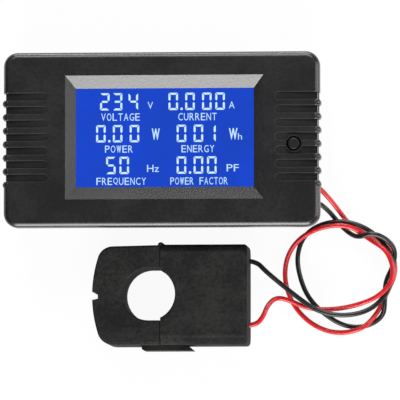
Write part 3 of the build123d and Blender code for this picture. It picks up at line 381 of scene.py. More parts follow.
@dataclass(frozen=True)
class SolderMask(Finish):
    """Printed circuit board: green lacquer over copper tracks, which show as paler strips.

    Attributes:
        track: the colour over a track.
        pitch_mm: how far apart the tracks run.
        track_mm: how thick the copper is.
        track_from: how far from the middle of a cell a track starts, as a share of the cell.
        track_at: where it is palest.
        track_to: where it ends.
    """

    track: str = "#2E7A45"
    pitch_mm: float = 2.4
    track_mm: float = 0.035
    track_from: float = 0.3
    track_at: float = 0.34
    track_to: float = 0.5

    def pattern(self, tree: bpy.types.NodeTree, shader: bpy.types.Node) -> None:
        """Lays the tracks on a grid of cells, as a router does, and lifts them slightly."""
        point = put(tree, "ShaderNodeTexCoord").outputs["Object"]
        cells = put(
            tree,
            "ShaderNodeTexVoronoi",
            {"Vector": point, "Scale": 1 / (self.pitch_mm * MM)},
            distance="MANHATTAN",
            feature="F1",
        )
        height = cells.outputs["Distance"]
        lacquer = {self.track_from: self.colour, self.track_to: self.colour}
        put(
            tree,
            "ShaderNodeValToRGB",
            {"Fac": height},
            {**lacquer, self.track_at: self.track},
            shader.inputs["Base Color"],
        )
        raise_relief(tree, shader, height, strength=0.2, depth_mm=self.track_mm)


@dataclass(frozen=True)
class Lit(Finish):
    """Liquid crystal with light behind it, a little uneven, which glows in its own colour.

    Attributes:
        dim: the colour where least light comes through.
        unlit: the colour that it would have with the light off.
        patch_mm: how wide the uneven patches are.
        dim_to: the value up to which the dim colour shows.
        bright_from: the value from which the full colour shows.
        glow: how strongly it glows, where 1 is the colour as written.
    """

    dim: str = "#BFE6FF"
    unlit: str = "#203050"
    patch_mm: float = 0.8
    dim_to: float = 0.3
    bright_from: float = 0.65
    glow: float = 1.0

    def pattern(self, tree: bpy.types.NodeTree, shader: bpy.types.Node) -> None:
        """Lights the surface, a little less in soft patches."""
        point = put(tree, "ShaderNodeTexCoord").outputs["Object"]
        patches = put(
            tree, "ShaderNodeTexNoise", {"Vector": point, "Scale": 1 / (self.patch_mm * MM)}
        )
        put(
            tree,
            "ShaderNodeValToRGB",
            {"Fac": patches.outputs["Fac"]},
            {self.dim_to: self.dim, self.bright_from: self.colour},
            shader.inputs["Emission Color"],
        )
        shader.inputs["Emission Strength"].default_value = self.glow
        shader.inputs["Base Color"].default_value = linear(self.unlit)


@dataclass(frozen=True)
class VinylSleeve(Finish):
    """Extruded PVC insulation: smooth and glossy, with a faint waviness from the strands.

    Attributes:
        shade: the darker colour, between the waves.
        wave_mm: how long a wave is.
        depth_mm: how high it stands.
        shade_to: the value up to which the shade shows.
        colour_from: the value from which the full colour shows.
    """

    shade: str = "#000000"
    wave_mm: float = 3.0
    depth_mm: float = 0.1
    shade_to: float = 0.25
    colour_from: float = 0.65

    def pattern(self, tree: bpy.types.NodeTree, shader: bpy.types.Node) -> None:
        """Varies the colour along the lead and adds long shallow waves."""
        point = put(tree, "ShaderNodeTexCoord").outputs["Object"]
        waves = put(
            tree,
            "ShaderNodeTexNoise",
            {"Vector": point, "Scale": 1 / (self.wave_mm * MM), "Detail": 1.0},
        )
        put(
            tree,
            "ShaderNodeValToRGB",
            {"Fac": waves.outputs["Fac"]},
            {self.shade_to: self.shade, self.colour_from: self.colour},
            shader.inputs["Base Color"],
        )
        raise_relief(tree, shader, waves.outputs["Fac"], strength=0.25, depth_mm=self.depth_mm)


# ABS from a spark-eroded mould: an even near-black with a low sheen, and a light rim where the
# polished slopes catch a panel. The slots' slopes are eroded too and stay dull. The real grain
# is about a tenth of a millimetre and would not show, so it is drawn 0.8 mm wide.
HOUSING = MouldedPlastic(
    "abs_spark_eroded_black", "#1C1C1C", roughness=0.34, specular=0.6, shade="#0C0C0C",
    edge_roughness=0.26, grain_mm=0.8, depth_mm=0.035, slot_roughness=0.85,
    slot_field_mm=(36.9, 6.6, 15.0),
)
# ABS from a coarser mould: speckled, and as dull on its slopes as on its faces. The real grain
# is about half as wide as the 0.8 mm that it is drawn with, and less deep, so that it shows.
CLAMP = MouldedPlastic(
    "abs_spark_eroded_clamp", "#1F201E", roughness=0.55, specular=0.25, shade="#060706",
    edge_roughness=0.9, grain_mm=0.8, depth_mm=0.05,
)
# Satin ABS: smoother and darker than the face round it, so that the cap stands apart.
BUTTON = MouldedPlastic(
    "abs_satin_button", "#0E0E0E", roughness=0.5, specular=0.3, shade="#080808", grain_mm=0.3,
    depth_mm=0.008,
)
# Polished glass over a lit panel: one deep blue, with wide faint patches from the light guide.
DISPLAY = Lit(
    "lcd_backlit_blue", "#1946CE", roughness=0.1, specular=0.2, dim="#1A44C0", unlit="#02040C",
    patch_mm=14.0, bright_from=0.6,
)
# Clear liquid crystal that lets the white light through: pale figures with a blue tinge,
# slightly uneven along a bar, as its drive line is.
FIGURE = Lit("lcd_clear_segment", "#D8F2FF", roughness=0.3)
# The same in thinner strokes, which look a little bluer.
UNIT = Lit("lcd_clear_legend", "#C0E2FC", roughness=0.3)
# Extruded PVC, dyed through: a clear red with a thin bright line along its crown.
RED_SLEEVE = VinylSleeve(
    "pvc_extruded_red", "#C41E24", roughness=0.26, specular=0.4, shade="#B0181E"
)
# The same with carbon black: a near-black that shows by its bright line.
BLACK_SLEEVE = VinylSleeve(
    "pvc_extruded_black", "#1A1C1A", roughness=0.28, specular=0.4, shade="#121412"
)
# Steel under clear zinc: a cool grey metal whose shine is drawn out by fine lines. They are
# drawn 0.15 mm wide, a few times the real ones, here and on the other rolled metals.
ZINC_STEEL = BrushedMetal("steel_zinc_plated", "#B9B8B0", roughness=0.32, metallic=1.0)
# Tinned copper, rolled: paler and a little brighter than the zinc.
TINNED = BrushedMetal("copper_tinned_rolled", "#C4C4BE", roughness=0.3, metallic=1.0)
# Brass stamped from sheet: a warm yellow metal.
BRASS = BrushedMetal("brass_stamped", "#C9A85F", roughness=0.28, metallic=1.0)
# Silicon steel in sheets: bluish grey layers with varnish between them.
CORE_STEEL = Layered(
    "silicon_steel_laminated", "#8C9096", roughness=0.4, metallic=1.0, gap="#2A2C2E", layer_mm=0.5
)
# Enamelled copper wire: glossy brown turns side by side, drawn thicker than the real wire.
COPPER = Layered(
    "copper_enamelled_wound", "#B9683A", roughness=0.28, metallic=1.0, coat=0.6, gap="#3A1A0C",
    layer_mm=0.35, stacked=Axis.Y,
)
# Silicone rubber with conducting stripes: matte pink, crossed by dark lines. They are drawn
# 0.4 mm apart, a few times the real pitch, which would run together.
RUBBER = Layered(
    "silicone_striped_moulded", "#C46A5A", roughness=0.7, gap="#26100C", layer_mm=0.4,
    stacked=Axis.X,
)
# Glass epoxy under green lacquer: a glossy dark green with paler tracks beneath. They are
# drawn 2.4 mm apart, wider than most real ones, so that they show.
BOARD = SolderMask("fr4_solder_mask_green", "#14542A", roughness=0.3, coat=0.3)
# White ABS: opaque, with a soft sheen.
HOLDER = MouldedPlastic("abs_moulded_white", "#E4E4DE", roughness=0.45, shade="#D2D2CA")
# Frosted acrylic: a cold white that shines softly.
GUIDE = MouldedPlastic("acrylic_frosted_guide", "#E8ECF4", roughness=0.35, shade="#D8DEEA")
# Green polyamide: an even satin colour.
TERMINAL = MouldedPlastic("polyamide_moulded_green", "#2A7A44", roughness=0.45, shade="#20663A")
# Undyed nylon: cream and nearly matte.
BOBBIN = MouldedPlastic("nylon_moulded_cream", "#DCD4BC", roughness=0.5, shade="#CCC2A8")
# Filled epoxy: a dark matte body with the finest grain.
CHIP = MouldedPlastic(
    "epoxy_moulded_black", "#18181A", roughness=0.6, shade="#101012", grain_mm=0.2
)
# A polyester box: yellow with a satin sheen.
FILM_BOX = MouldedPlastic("polyester_box_yellow", "#D6AE2C", roughness=0.35, shade="#C49C20")
# Shrunk film: thin, dark blue and glossy.
SLEEVE = MouldedPlastic("pet_shrunk_sleeve", "#161A28", roughness=0.25, shade="#10131E", coat=0.4)
# Epoxy that dripped off as it set: a thick glossy blue skin, wavy rather than grained.
DIPPED = MouldedPlastic(
    "epoxy_dipped_blue", "#1C4488", roughness=0.22, shade="#163874", grain_mm=1.2, coat=0.5
)
# Lacquer over a ceramic rod: a greyish green, satin.
RESISTOR = MouldedPlastic("ceramic_lacquered_green", "#5F8E76", roughness=0.4, shade="#527E68")
# Printed ceramic: small, near black and smooth.
CHIP_CERAMIC = MouldedPlastic("ceramic_printed_black", "#1A1A1C", roughness=0.3, shade="#121214")

NODE_FINISH: dict[Finish, tuple[str, ...]] = {
    HOUSING: ("front_bezel", "rear_case"),
    CLAMP: ("clamp_body", "clamp_body_back", "clamp_jaw_shell", "clamp_jaw_back"),
    BUTTON: ("button_cap",),
    DISPLAY: ("lcd_glass",),
    GUIDE: ("lcd_backlight",),
    RUBBER: ("contact_strip",),
    HOLDER: ("lcd_holder", "switch_plunger"),
    BOARD: ("main_pcb", "lead_board"),
    TERMINAL: ("terminal_block",),
    BRASS: ("terminal_bars",),
    TINNED: ("wire_ferrules",),
    CORE_STEEL: ("fixed_core", "moving_core"),
    COPPER: ("winding",),
    BOBBIN: ("bobbin",),
    FILM_BOX: ("film_capacitor",),
    SLEEVE: ("electrolytic_capacitor",),
    DIPPED: ("varistor",),
    RESISTOR: ("fusible_resistor",),
    CHIP: ("bridge_rectifier", "metering_chip", "microcontroller", "switch_body"),
    CHIP_CERAMIC: ("chip_resistors",),
    ZINC_STEEL: (
        "pcb_screws", "hinge_pin", "core_spring", "crystal",
        *(f"terminal_screw_{way}" for way in range(1, 5)),
        *(f"wire_cage_{way}" for way in range(1, 5)),
    ),
}


def start_piece() -> None:
    """Leaves no object selected, so that the next operator acts on its own piece alone."""
    if bpy.context.object and bpy.context.object.mode != "OBJECT":
        bpy.ops.object.mode_set(mode="OBJECT")
    bpy.ops.object.select_all(action="DESELECT")


class Picked(Enum):
    """What is selected in edit mode, by the operator's own word for it."""

    POINTS = "VERT"
    EDGES = "EDGE"


def pick(piece: bpy.types.Object, kind: Picked, test: Callable[..., bool]) -> None:
    """Enters edit mode with only those points or edges selected that pass a test.

    Args:
        piece: the active object.
        kind: whether points or edges are picked.
        test: says it from a point's place, or from the places of an edge's two ends.
    """
    bpy.ops.object.mode_set(mode="EDIT")
    bpy.ops.mesh.select_mode(type=kind.value)
    bpy.ops.mesh.select_all(action="DESELECT")
    bpy.ops.object.mode_set(mode="OBJECT")
    points = piece.data.vertices
    if kind is Picked.POINTS:
        for point in points:
            point.select = test(point.co)
    else:
        for edge in piece.data.edges:
            edge.select = test(*(points[end].co for end in edge.vertices))
    bpy.ops.object.mode_set(mode="EDIT")


def copied(shape: bpy.types.Object, turn: Matrix) -> bpy.types.Object:
    """Copies a shape with a mesh of its own.

    Args:
        shape: what is copied.
        turn: takes the copy's mesh to its place.

    Returns:
        The copy.
    """
    piece = shape.copy()
    piece.data = shape.data.copy()
    bpy.context.collection.objects.link(piece)
    piece.data.transform(turn)
    return piece


def join(pieces: list[bpy.types.Object]) -> bpy.types.Object:
    """Joins pieces into the first of them.

    Args:
        pieces: two or more meshes.

    Returns:
        The first piece, which now holds them all.
    """
    start_piece()
    for piece in pieces:
        piece.select_set(True)
    bpy.context.view_layer.objects.active = pieces[0]
    bpy.ops.object.join()
    return pieces[0]


def settle(piece: bpy.types.Object, name: str, finish: Finish) -> bpy.types.Object:
    """Moves a piece's place into its mesh, names it and gives it its finish.

    Args:
        piece: the finished object.
        name: its name.
        finish: what it is made of.

    Returns:
        The same object, at the origin, unturned and unscaled.
    """
    piece.data.transform(piece.matrix_world)
    piece.matrix_world = Matrix.Identity(4)
    piece.name = name
    piece.data.name = name
    piece.data.materials.clear()
    piece.data.materials.append(finish.material())
    return piece


@dataclass
class Lettering:
    """Plain raised words and numbers, each fitted into a stated box.

    Attributes:
        thickness: how far the letters stand up.
        gap: the space between two letters, as a share of a letter's width.
        round_steps: how finely the letters' curves are divided.
        heavier: how much an outline grows where a letter's strokes would be too thin.
    """

    thickness: float
    gap: float = 0.26
    round_steps: int = 3
    heavier: dict[str, float] = field(default_factory=lambda: {"W": 0.035})

    def word(
        self, text: str, low: tuple[float, float], high: tuple[float, float], turn: Matrix
    ) -> bpy.types.Object:
        """Makes one word that fills a box, flat on a plane.

        Args:
            text: what it says.
            low: the box's lower left corner on the plane, in metres.
            high: its upper right corner.
            turn: takes the plane's points to the object's.

        Returns:
            The word as a mesh.
        """
        start_piece()
        bpy.ops.object.text_add()
        piece = bpy.context.object
        piece.data.body = text
        # Half a unit to each side makes it one unit thick, which the fit then scales.
        piece.data.extrude = 0.5
        piece.data.offset = self.heavier.get(text, 0.0)
        piece.data.resolution_u = self.round_steps
        bpy.ops.object.convert(target="MESH")
        xs = [v.co.x for v in piece.data.vertices]
        ys = [v.co.y for v in piece.data.vertices]
        scale = Vector(
            ((high[0] - low[0]) / (max(xs) - min(xs)), (high[1] - low[1]) / (max(ys) - min(ys)))
        )
        fit = Matrix.Diagonal((scale.x, scale.y, self.thickness, 1))
        shift = Matrix.Translation(
            (low[0] - min(xs) * scale.x, low[1] - min(ys) * scale.y, self.thickness / 2)
        )
        piece.data.transform(turn @ shift @ fit)
        return piece

    def line(
        self, text: str, low: tuple[float, float], high: tuple[float, float], turn: Matrix
    ) -> list[bpy.types.Object]:
        """Makes capitals of one width that fill a box, as a display's narrow letters do.

        Args:
            text: what the line says.
            low: the box's lower left corner on the plane, in metres.
            high: its upper right corner.
            turn: as for a word.

        Returns:
            The letters, each a mesh.
        """
        width = (high[0] - low[0]) / (len(text) + self.gap * (len(text) - 1))
        letters = []
        for number, letter in enumerate(text):
            left = low[0] + number * width * (1 + self.gap)
            if letter != " ":
                letters.append(self.word(letter, (left, low[1]), (left + width, high[1]), turn))
        return letters


@dataclass(frozen=True)
class Label:
    """A word of the display and the box that it fills, in millimetres from the middle."""

    text: str
    left: float
    right: float
    low: float
    high: float

    def corners(self) -> tuple[tuple[float, float], tuple[float, float]]:
        """Returns the box's lower left and upper right corners, in metres."""
        return (self.left * MM, self.low * MM), (self.right * MM, self.high * MM)


class End(Enum):
    """How one end of a figure's bar is cut, by the side of the bar that stays whole there."""

    POINTED = 0
    MITRED_UP = 1
    MITRED_DOWN = -1


class Bar(Enum):
    """The kinds of bar: its left end, its right end, and whether it lies across a figure."""

    ACROSS = (End.MITRED_UP, End.MITRED_UP, True)
    MIDDLE = (End.POINTED, End.POINTED, True)
    UPRIGHT = (End.POINTED, End.MITRED_UP, False)
    UPRIGHT_TURNED = (End.POINTED, End.MITRED_DOWN, False)

    def __init__(self, left: End, right: End, across: bool) -> None:
        """Gives each part of a kind's value its name."""
        self.left, self.right, self.across = left, right, across


class Segment(Enum):
    """The seven bars of a figure: kind, place to the right and up, and quarter turns."""

    TOP = (Bar.ACROSS, 0, 1, 0)
    UPPER_RIGHT = (Bar.UPRIGHT_TURNED, 1, 1, 1)
    LOWER_RIGHT = (Bar.UPRIGHT, 1, -1, 3)
    BOTTOM = (Bar.ACROSS, 0, -1, 2)
    LOWER_LEFT = (Bar.UPRIGHT_TURNED, -1, -1, 3)
    UPPER_LEFT = (Bar.UPRIGHT, -1, 1, 1)
    MIDDLE = (Bar.MIDDLE, 0, 0, 0)

    def __init__(self, bar: Bar, right: int, up: int, quarters: int) -> None:
        """Gives each part of a segment's value its name."""
        self.bar, self.right, self.up, self.quarters = bar, right, up, quarters


FIGURES = {
    "0": (
        Segment.TOP, Segment.UPPER_RIGHT, Segment.LOWER_RIGHT, Segment.BOTTOM,
        Segment.LOWER_LEFT, Segment.UPPER_LEFT,
    ),
    "1": (Segment.UPPER_RIGHT, Segment.LOWER_RIGHT),
    "2": (Segment.TOP, Segment.UPPER_RIGHT, Segment.MIDDLE, Segment.LOWER_LEFT, Segment.BOTTOM),
    "3": (Segment.TOP, Segment.UPPER_RIGHT, Segment.MIDDLE, Segment.LOWER_RIGHT, Segment.BOTTOM),
    "4": (Segment.UPPER_LEFT, Segment.MIDDLE, Segment.UPPER_RIGHT, Segment.LOWER_RIGHT),
    "5": (Segment.TOP, Segment.UPPER_LEFT, Segment.MIDDLE, Segment.LOWER_RIGHT, Segment.BOTTOM),
}


@dataclass
class Display:
    """The panel's lit figures, units and quantity names, just above its glass.

    Attributes:
        middle: the display's middle on the object, from which its places are measured.
        bar: how wide a bar is.
        corner_gap: how far a bar's tip stays from the corner of its figure.
        middle_gap: the space between the upper and the lower uprights.
        point_side: how wide a decimal point is.
        point_corner: the radius of its corners.
        lift: the height of the figures over the glass.
        rows: the height of each row's middle, in millimetres.
        figures: each figure, its place across in millimetres and its row.
        points: each decimal point's place across in millimetres and its row.
    """

    middle: tuple[float, float] = (1.15 * MM, 0.6 * MM)
    figure_width: float = 2.7 * MM
    figure_height: float = 4.9 * MM
    bar: float = 0.57 * MM
    corner_gap: float = 0.14 * MM
    middle_gap: float = 0.4 * MM
    point_side: float = 0.66 * MM
    point_corner: float = 0.2 * MM
    lift: float = 0.01 * MM
    thickness: float = 0.03 * MM
    rows: tuple[float, ...] = (10.23, 1.16, -7.84)
    figures: tuple[tuple[str, float, int], ...] = (
        ("2", -17.31, 0), ("3", -13.69, 0), ("4", -9.22, 0),
        ("0", 2.12, 0), ("0", 6.87, 0), ("0", 11.64, 0), ("0", 15.4, 0),
        ("0", -18.42, 1), ("0", -13.66, 1), ("0", -8.89, 1),
        ("0", 4.45, 1), ("0", 9.25, 1), ("1", 12.82, 1),
        ("5", -15.58, 2), ("0", -11.78, 2),
        ("0", 4.45, 2), ("0", 9.25, 2), ("0", 13.05, 2),
    )
    points: tuple[tuple[float, int], ...] = ((4.49, 0), (-16.03, 1), (6.89, 2))
    units: tuple[Label, ...] = (
        Label("V", -5.16, -3.62, 8.18, 10.12),
        Label("A", 17.9, 19.51, 8.18, 10.12),
        Label("W", -3.98, -1.72, -0.67, 2.58),
        Label("W", 17.9, 20.34, -0.67, 2.58),
        Label("h", 20.45, 21.62, -0.67, 1.12),
        Label("Hz", -5.31, -1.94, -9.74, -7.72),
        Label("PF", 17.25, 20.69, -9.68, -7.66),
    )
    names: tuple[Label, ...] = (
        Label("VOLTAGE", -18.33, -7.39, 4.83, 6.92),
        Label("CURRENT", 3.55, 14.42, 4.83, 6.92),
        Label("POWER", -17.25, -9.36, -4.22, -2.2),
        Label("ENERGY", 4.45, 13.77, -4.22, -2.2),
        Label("FREQUENCY", -19.69, -5.59, -13.37, -11.32),
        Label("POWER FACTOR", 1.29, 17.54, -13.37, -11.32),
    )

    def level(self) -> float:
        """Returns the height of the figures' underside, on the glass."""
        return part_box("lcd_glass")[1][2] + self.lift

    def plane(self) -> Matrix:
        """Returns the matrix from the display's own plane to the object."""
        return Matrix.Translation((self.middle[0], self.middle[1], self.level()))

    def bar_length(self, kind: Bar) -> float:
        """Works out a bar's full length, tip to tip.

        Args:
            kind: which bar.

        Returns:
            The length in metres.
        """
        if kind is Bar.MIDDLE:
            return self.figure_width - self.bar - 2 * self.corner_gap
        if kind is Bar.ACROSS:
            return self.figure_width - 2 * self.corner_gap
        return (self.figure_height - self.middle_gap) / 2 - self.corner_gap

    def slab(self, length: float, width: float) -> bpy.types.Object:
        """Starts a thin piece: a block that stands on the display's plane at its middle.

        Args:
            length: its size along X, in metres.
            width: its size along Y.

        Returns:
            The block, still to be shaped.
        """
        start_piece()
        bpy.ops.mesh.primitive_cube_add(size=1)
        piece = bpy.context.object
        piece.data.transform(Matrix.Diagonal((length, width, self.thickness, 1)))
        piece.data.transform(Matrix.Translation((0, 0, self.thickness / 2)))
        return piece

    def bar_shape(self, kind: Bar) -> bpy.types.Object:
        """Models one bar, lying along X at the middle, with its two ends cut at 45 degrees.

        Args:
            kind: which bar; it names the cut of the left end and of the right end.

        Returns:
            The bar, from which each copy takes its mesh.
        """
        length = self.bar_length(kind)
        piece = self.slab(length, self.bar)
        # The edges across the ends are halved, so that each end has a middle to point with.
        pick(piece, Picked.EDGES, lambda a, b: abs(a.y - b.y) > self.bar / 2)
        bpy.ops.mesh.subdivide(number_cuts=1)
        bpy.ops.object.mode_set(mode="OBJECT")
        for side, end in ((-1, kind.left), (1, kind.right)):
            for row in (-1, 0, 1):
                cut = abs(row) if end is End.POINTED else 1 - end.value * row
                if cut == 0:
                    continue
                tip = Vector((side * length / 2, row * self.bar / 2))
                pick(piece, Picked.POINTS, lambda p: (p.xy - tip).length < self.bar / 8)
                bpy.ops.transform.translate(value=(-side * cut * self.bar / 2, 0, 0))
                bpy.ops.object.mode_set(mode="OBJECT")
        LOG.info("bar %s is %.2f mm long", kind.name, length / MM)
        return piece

    def point_shape(self) -> bpy.types.Object:
        """Models a decimal point at the middle, a thin square with rounded corners.

        Returns:
            The point, from which each copy takes its mesh.
        """
        piece = self.slab(self.point_side, self.point_side)
        pick(piece, Picked.EDGES, lambda a, b: abs(a.z - b.z) > self.thickness / 2)
        bpy.ops.mesh.bevel(offset=self.point_corner, segments=4, affect="EDGES")
        bpy.ops.object.mode_set(mode="OBJECT")
        return piece

    def bar_place(self, segment: Segment) -> Matrix:
        """Works out where a bar lies in a figure.

        Args:
            segment: which of the seven.

        Returns:
            The matrix that takes it there from the middle.
        """
        height = (self.figure_height - self.bar) / 2
        if not segment.bar.across:
            height = (self.bar_length(segment.bar) + self.middle_gap) / 2
        shift = (segment.right * (self.figure_width - self.bar) / 2, segment.up * height, 0)
        turn = Matrix.Rotation(segment.quarters * math.pi / 2, 4, "Z")
        return Matrix.Translation(shift) @ turn

    def build_figures(self) -> bpy.types.Object:
        """Copies the bars into every figure and adds the decimal points.

        Returns:
            All of them as one piece.
        """
        shapes = {kind: self.bar_shape(kind) for kind in Bar}
        point = self.point_shape()
        pieces = []
        for figure, across, row in self.figures:
            spot = Matrix.Translation((across * MM, self.rows[row] * MM, 0))
            for segment in FIGURES[figure]:
                turn = self.plane() @ spot @ self.bar_place(segment)
                pieces.append(copied(shapes[segment.bar], turn))
        for across, row in self.points:
            low = self.rows[row] * MM - self.figure_height / 2
            spot = Matrix.Translation((across * MM, low + self.point_side / 2, 0))
            pieces.append(copied(point, self.plane() @ spot))
        for shape in (*shapes.values(), point):
            bpy.data.objects.remove(shape)
        return settle(join(pieces), "display_figures", FIGURE)

    def build_words(self) -> bpy.types.Object:
        """Makes the units, each a word of its own, and the names in letters of one width.

        Returns:
            All of them as one piece.
        """
        raised = Lettering(self.thickness)
        pieces = [raised.word(unit.text, *unit.corners(), self.plane()) for unit in self.units]
        for name in self.names:
            pieces += raised.line(name.text, *name.corners(), self.plane())
        return settle(join(pieces), "display_words", UNIT)

    def build(self) -> None:
        """Builds and attaches everything the display shows."""
        for piece in (self.build_figures(), self.build_words()):
            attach(piece, "meter")
            LOG.info("%s has %d faces", piece.name, len(piece.data.polygons))


@dataclass
class EntryNumbers:
    """Plain raised numbers above the four wire entries in the case's right end.

    Attributes:
        face_x: where that end of the case is.
        low: the height of a number's foot.
        raised: how far a number stands out.
        ways: each entry's middle along Y, in millimetres.
    """

    face_x: float = 43.0 * MM
    height: float = 2.4 * MM
    width: float = 1.4 * MM
    low: float = 12.4 * MM
    raised: float = 0.15 * MM
    ways: tuple[float, ...] = (-1.9, -6.9, -11.9, -16.9)

    def build(self) -> None:
        """Makes the numbers one to four, reading upright from the right."""
        digits = Lettering(self.raised)
        # A number's right is the object's Y, and its up is the object's Z.
        stand = Matrix(((0, 0, 1, self.face_x), (1, 0, 0, 0), (0, 1, 0, 0), (0, 0, 0, 1)))
        numbers = []
        for number, way in enumerate(self.ways, start=1):
            left = way * MM - self.width / 2
            low, high = (left, self.low), (left + self.width, self.low + self.height)
            numbers.append(digits.word(str(number), low, high, stand))
        piece = settle(join(numbers), "entry_numbers", HOUSING)
        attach(piece, "meter")
        LOG.info("%s has %d faces", piece.name, len(piece.data.polygons))


@dataclass
class Lead:
    """One thin lead from its ferrule in the terminals to the clamp.

    Attributes:
        node: the solid that it stands for.
        slot: the slot that its finish is for; not used.
        length: how long the lead is, in metres; not used.
        route: its control points in millimetres, from the ferrule on.
        diameter: how thick it is over its sleeve.
        round_steps: how finely its round section is divided.
        path_steps: how finely each part of its path is divided.
    """

    name: str
    node: str
    slot: str
    finish: Finish
    length: float
    route: tuple[tuple[float, float, float], ...]
    diameter: float = 1.4 * MM
    round_steps: int = 4
    path_steps: int = 8

    def build(self) -> None:
        """Lays the lead as one smooth spline on its route."""
        curve = bpy.data.curves.new(self.name, "CURVE")
        curve.dimensions = "3D"
        curve.bevel_depth = self.diameter / 2
        curve.bevel_resolution = self.round_steps
        curve.resolution_u = self.path_steps
        curve.use_fill_caps = True
        spline = curve.splines.new("NURBS")
        spline.points.add(len(self.route) - 1)
        for point, (x, y, z) in zip(spline.points, self.route):
            point.co = (x * MM, y * MM, z * MM, 1)
        spline.order_u = 3
        spline.use_endpoint_u = True
        piece = bpy.data.objects.new(self.name, curve)
        bpy.context.collection.objects.link(piece)
        curve.materials.append(self.finish.material())
        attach(piece, "meter")
        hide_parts(self.node)
        LOG.info("%s laid through %d points", self.name, len(self.route))


# Both leave the case along X at their entries, fall to the table and go once round the loop
# there. They come back over themselves and end level, in the clamp's wall.
RED_ROUTE = (
    (39.8, -11.9, 9.30), (42.9, -11.9, 9.30), (46.9, -16.2, 7.20), (49.6, -19.8, 3.60),
    (52.0, -22.9, 0.90), (55.6, -24.9, 0.75), (60.4, -26.9, 0.75), (64.4, -31.0, 0.75),
    (65.3, -36.8, 0.75), (62.7, -42.4, 0.75), (60.0, -48.4, 1.20), (55.6, -53.2, 3.20),
    (47.6, -54.2, 0.75), (40.6, -51.2, 0.75), (35.6, -45.6, 0.75), (33.3, -38.6, 1.11),
    (34.3, -31.8, 3.49), (38.4, -26.6, 5.80), (45.2, -23.6, 5.90), (52.4, -23.4, 5.30),
    (57.6, -27.2, 3.80), (63.4, -30.9, 6.20), (65.2, -38.2, 5.80), (61.0, -43.7, 5.70),
    (53.8, -46.4, 4.60), (46.4, -47.5, 4.05), (40.0, -47.0, 4.05), (34.6, -44.5, 4.40),
    (31.2, -43.9, 5.10), (28.9, -46.2, 6.20), (27.7, -49.6, 7.00), (25.4, -52.1, 7.00),
    (20.7, -52.1, 7.00),
)
BLACK_ROUTE = (
    (39.8, -16.9, 9.30), (43.3, -16.9, 9.30), (46.2, -19.2, 6.90), (47.9, -21.2, 2.70),
    (51.2, -25.0, 2.10), (54.7, -27.1, 5.40), (58.4, -25.7, 7.40), (62.5, -27.1, 6.50),
    (65.3, -30.2, 3.60), (64.6, -34.8, 2.20), (62.2, -39.4, 2.20), (62.2, -44.6, 2.85),
    (61.7, -49.4, 0.95), (56.4, -52.4, 0.75), (50.4, -52.0, 0.75), (44.8, -48.6, 1.60),
    (40.3, -44.0, 2.30), (37.9, -38.2, 2.35), (37.0, -32.0, 3.20), (39.2, -25.9, 4.10),
    (45.0, -22.5, 4.30), (52.0, -22.2, 4.30), (58.4, -24.9, 4.21), (63.3, -29.9, 4.21),
    (65.0, -36.0, 4.10), (63.0, -42.9, 4.10), (57.8, -47.9, 4.39), (50.2, -49.4, 5.49),
    (43.2, -48.0, 5.69), (37.9, -44.3, 5.80), (32.8, -40.2, 6.21), (28.6, -36.7, 6.90),
    (25.5, -33.4, 7.00), (20.7, -33.4, 7.00),
)


def dress(finishes: dict[Finish, tuple[str, ...]]) -> None:
    """Gives each solid of the frame its finish, in the solid's own material slots.

    Args:
        finishes: for each finish, the names of its solids.
    """
    for finish, nodes in finishes.items():
        for node in nodes:
            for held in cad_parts[node].material_slots:
                held.material = finish.material()
        LOG.info("%s on %d solids", finish.name, len(nodes))


@dataclass(frozen=True)
class Panel:
    """A soft light: where it hangs and its size, in metres, and the radiance of its face."""

    name: str
    spot: tuple[float, float, float]
    size: tuple[float, float]
    radiance: float


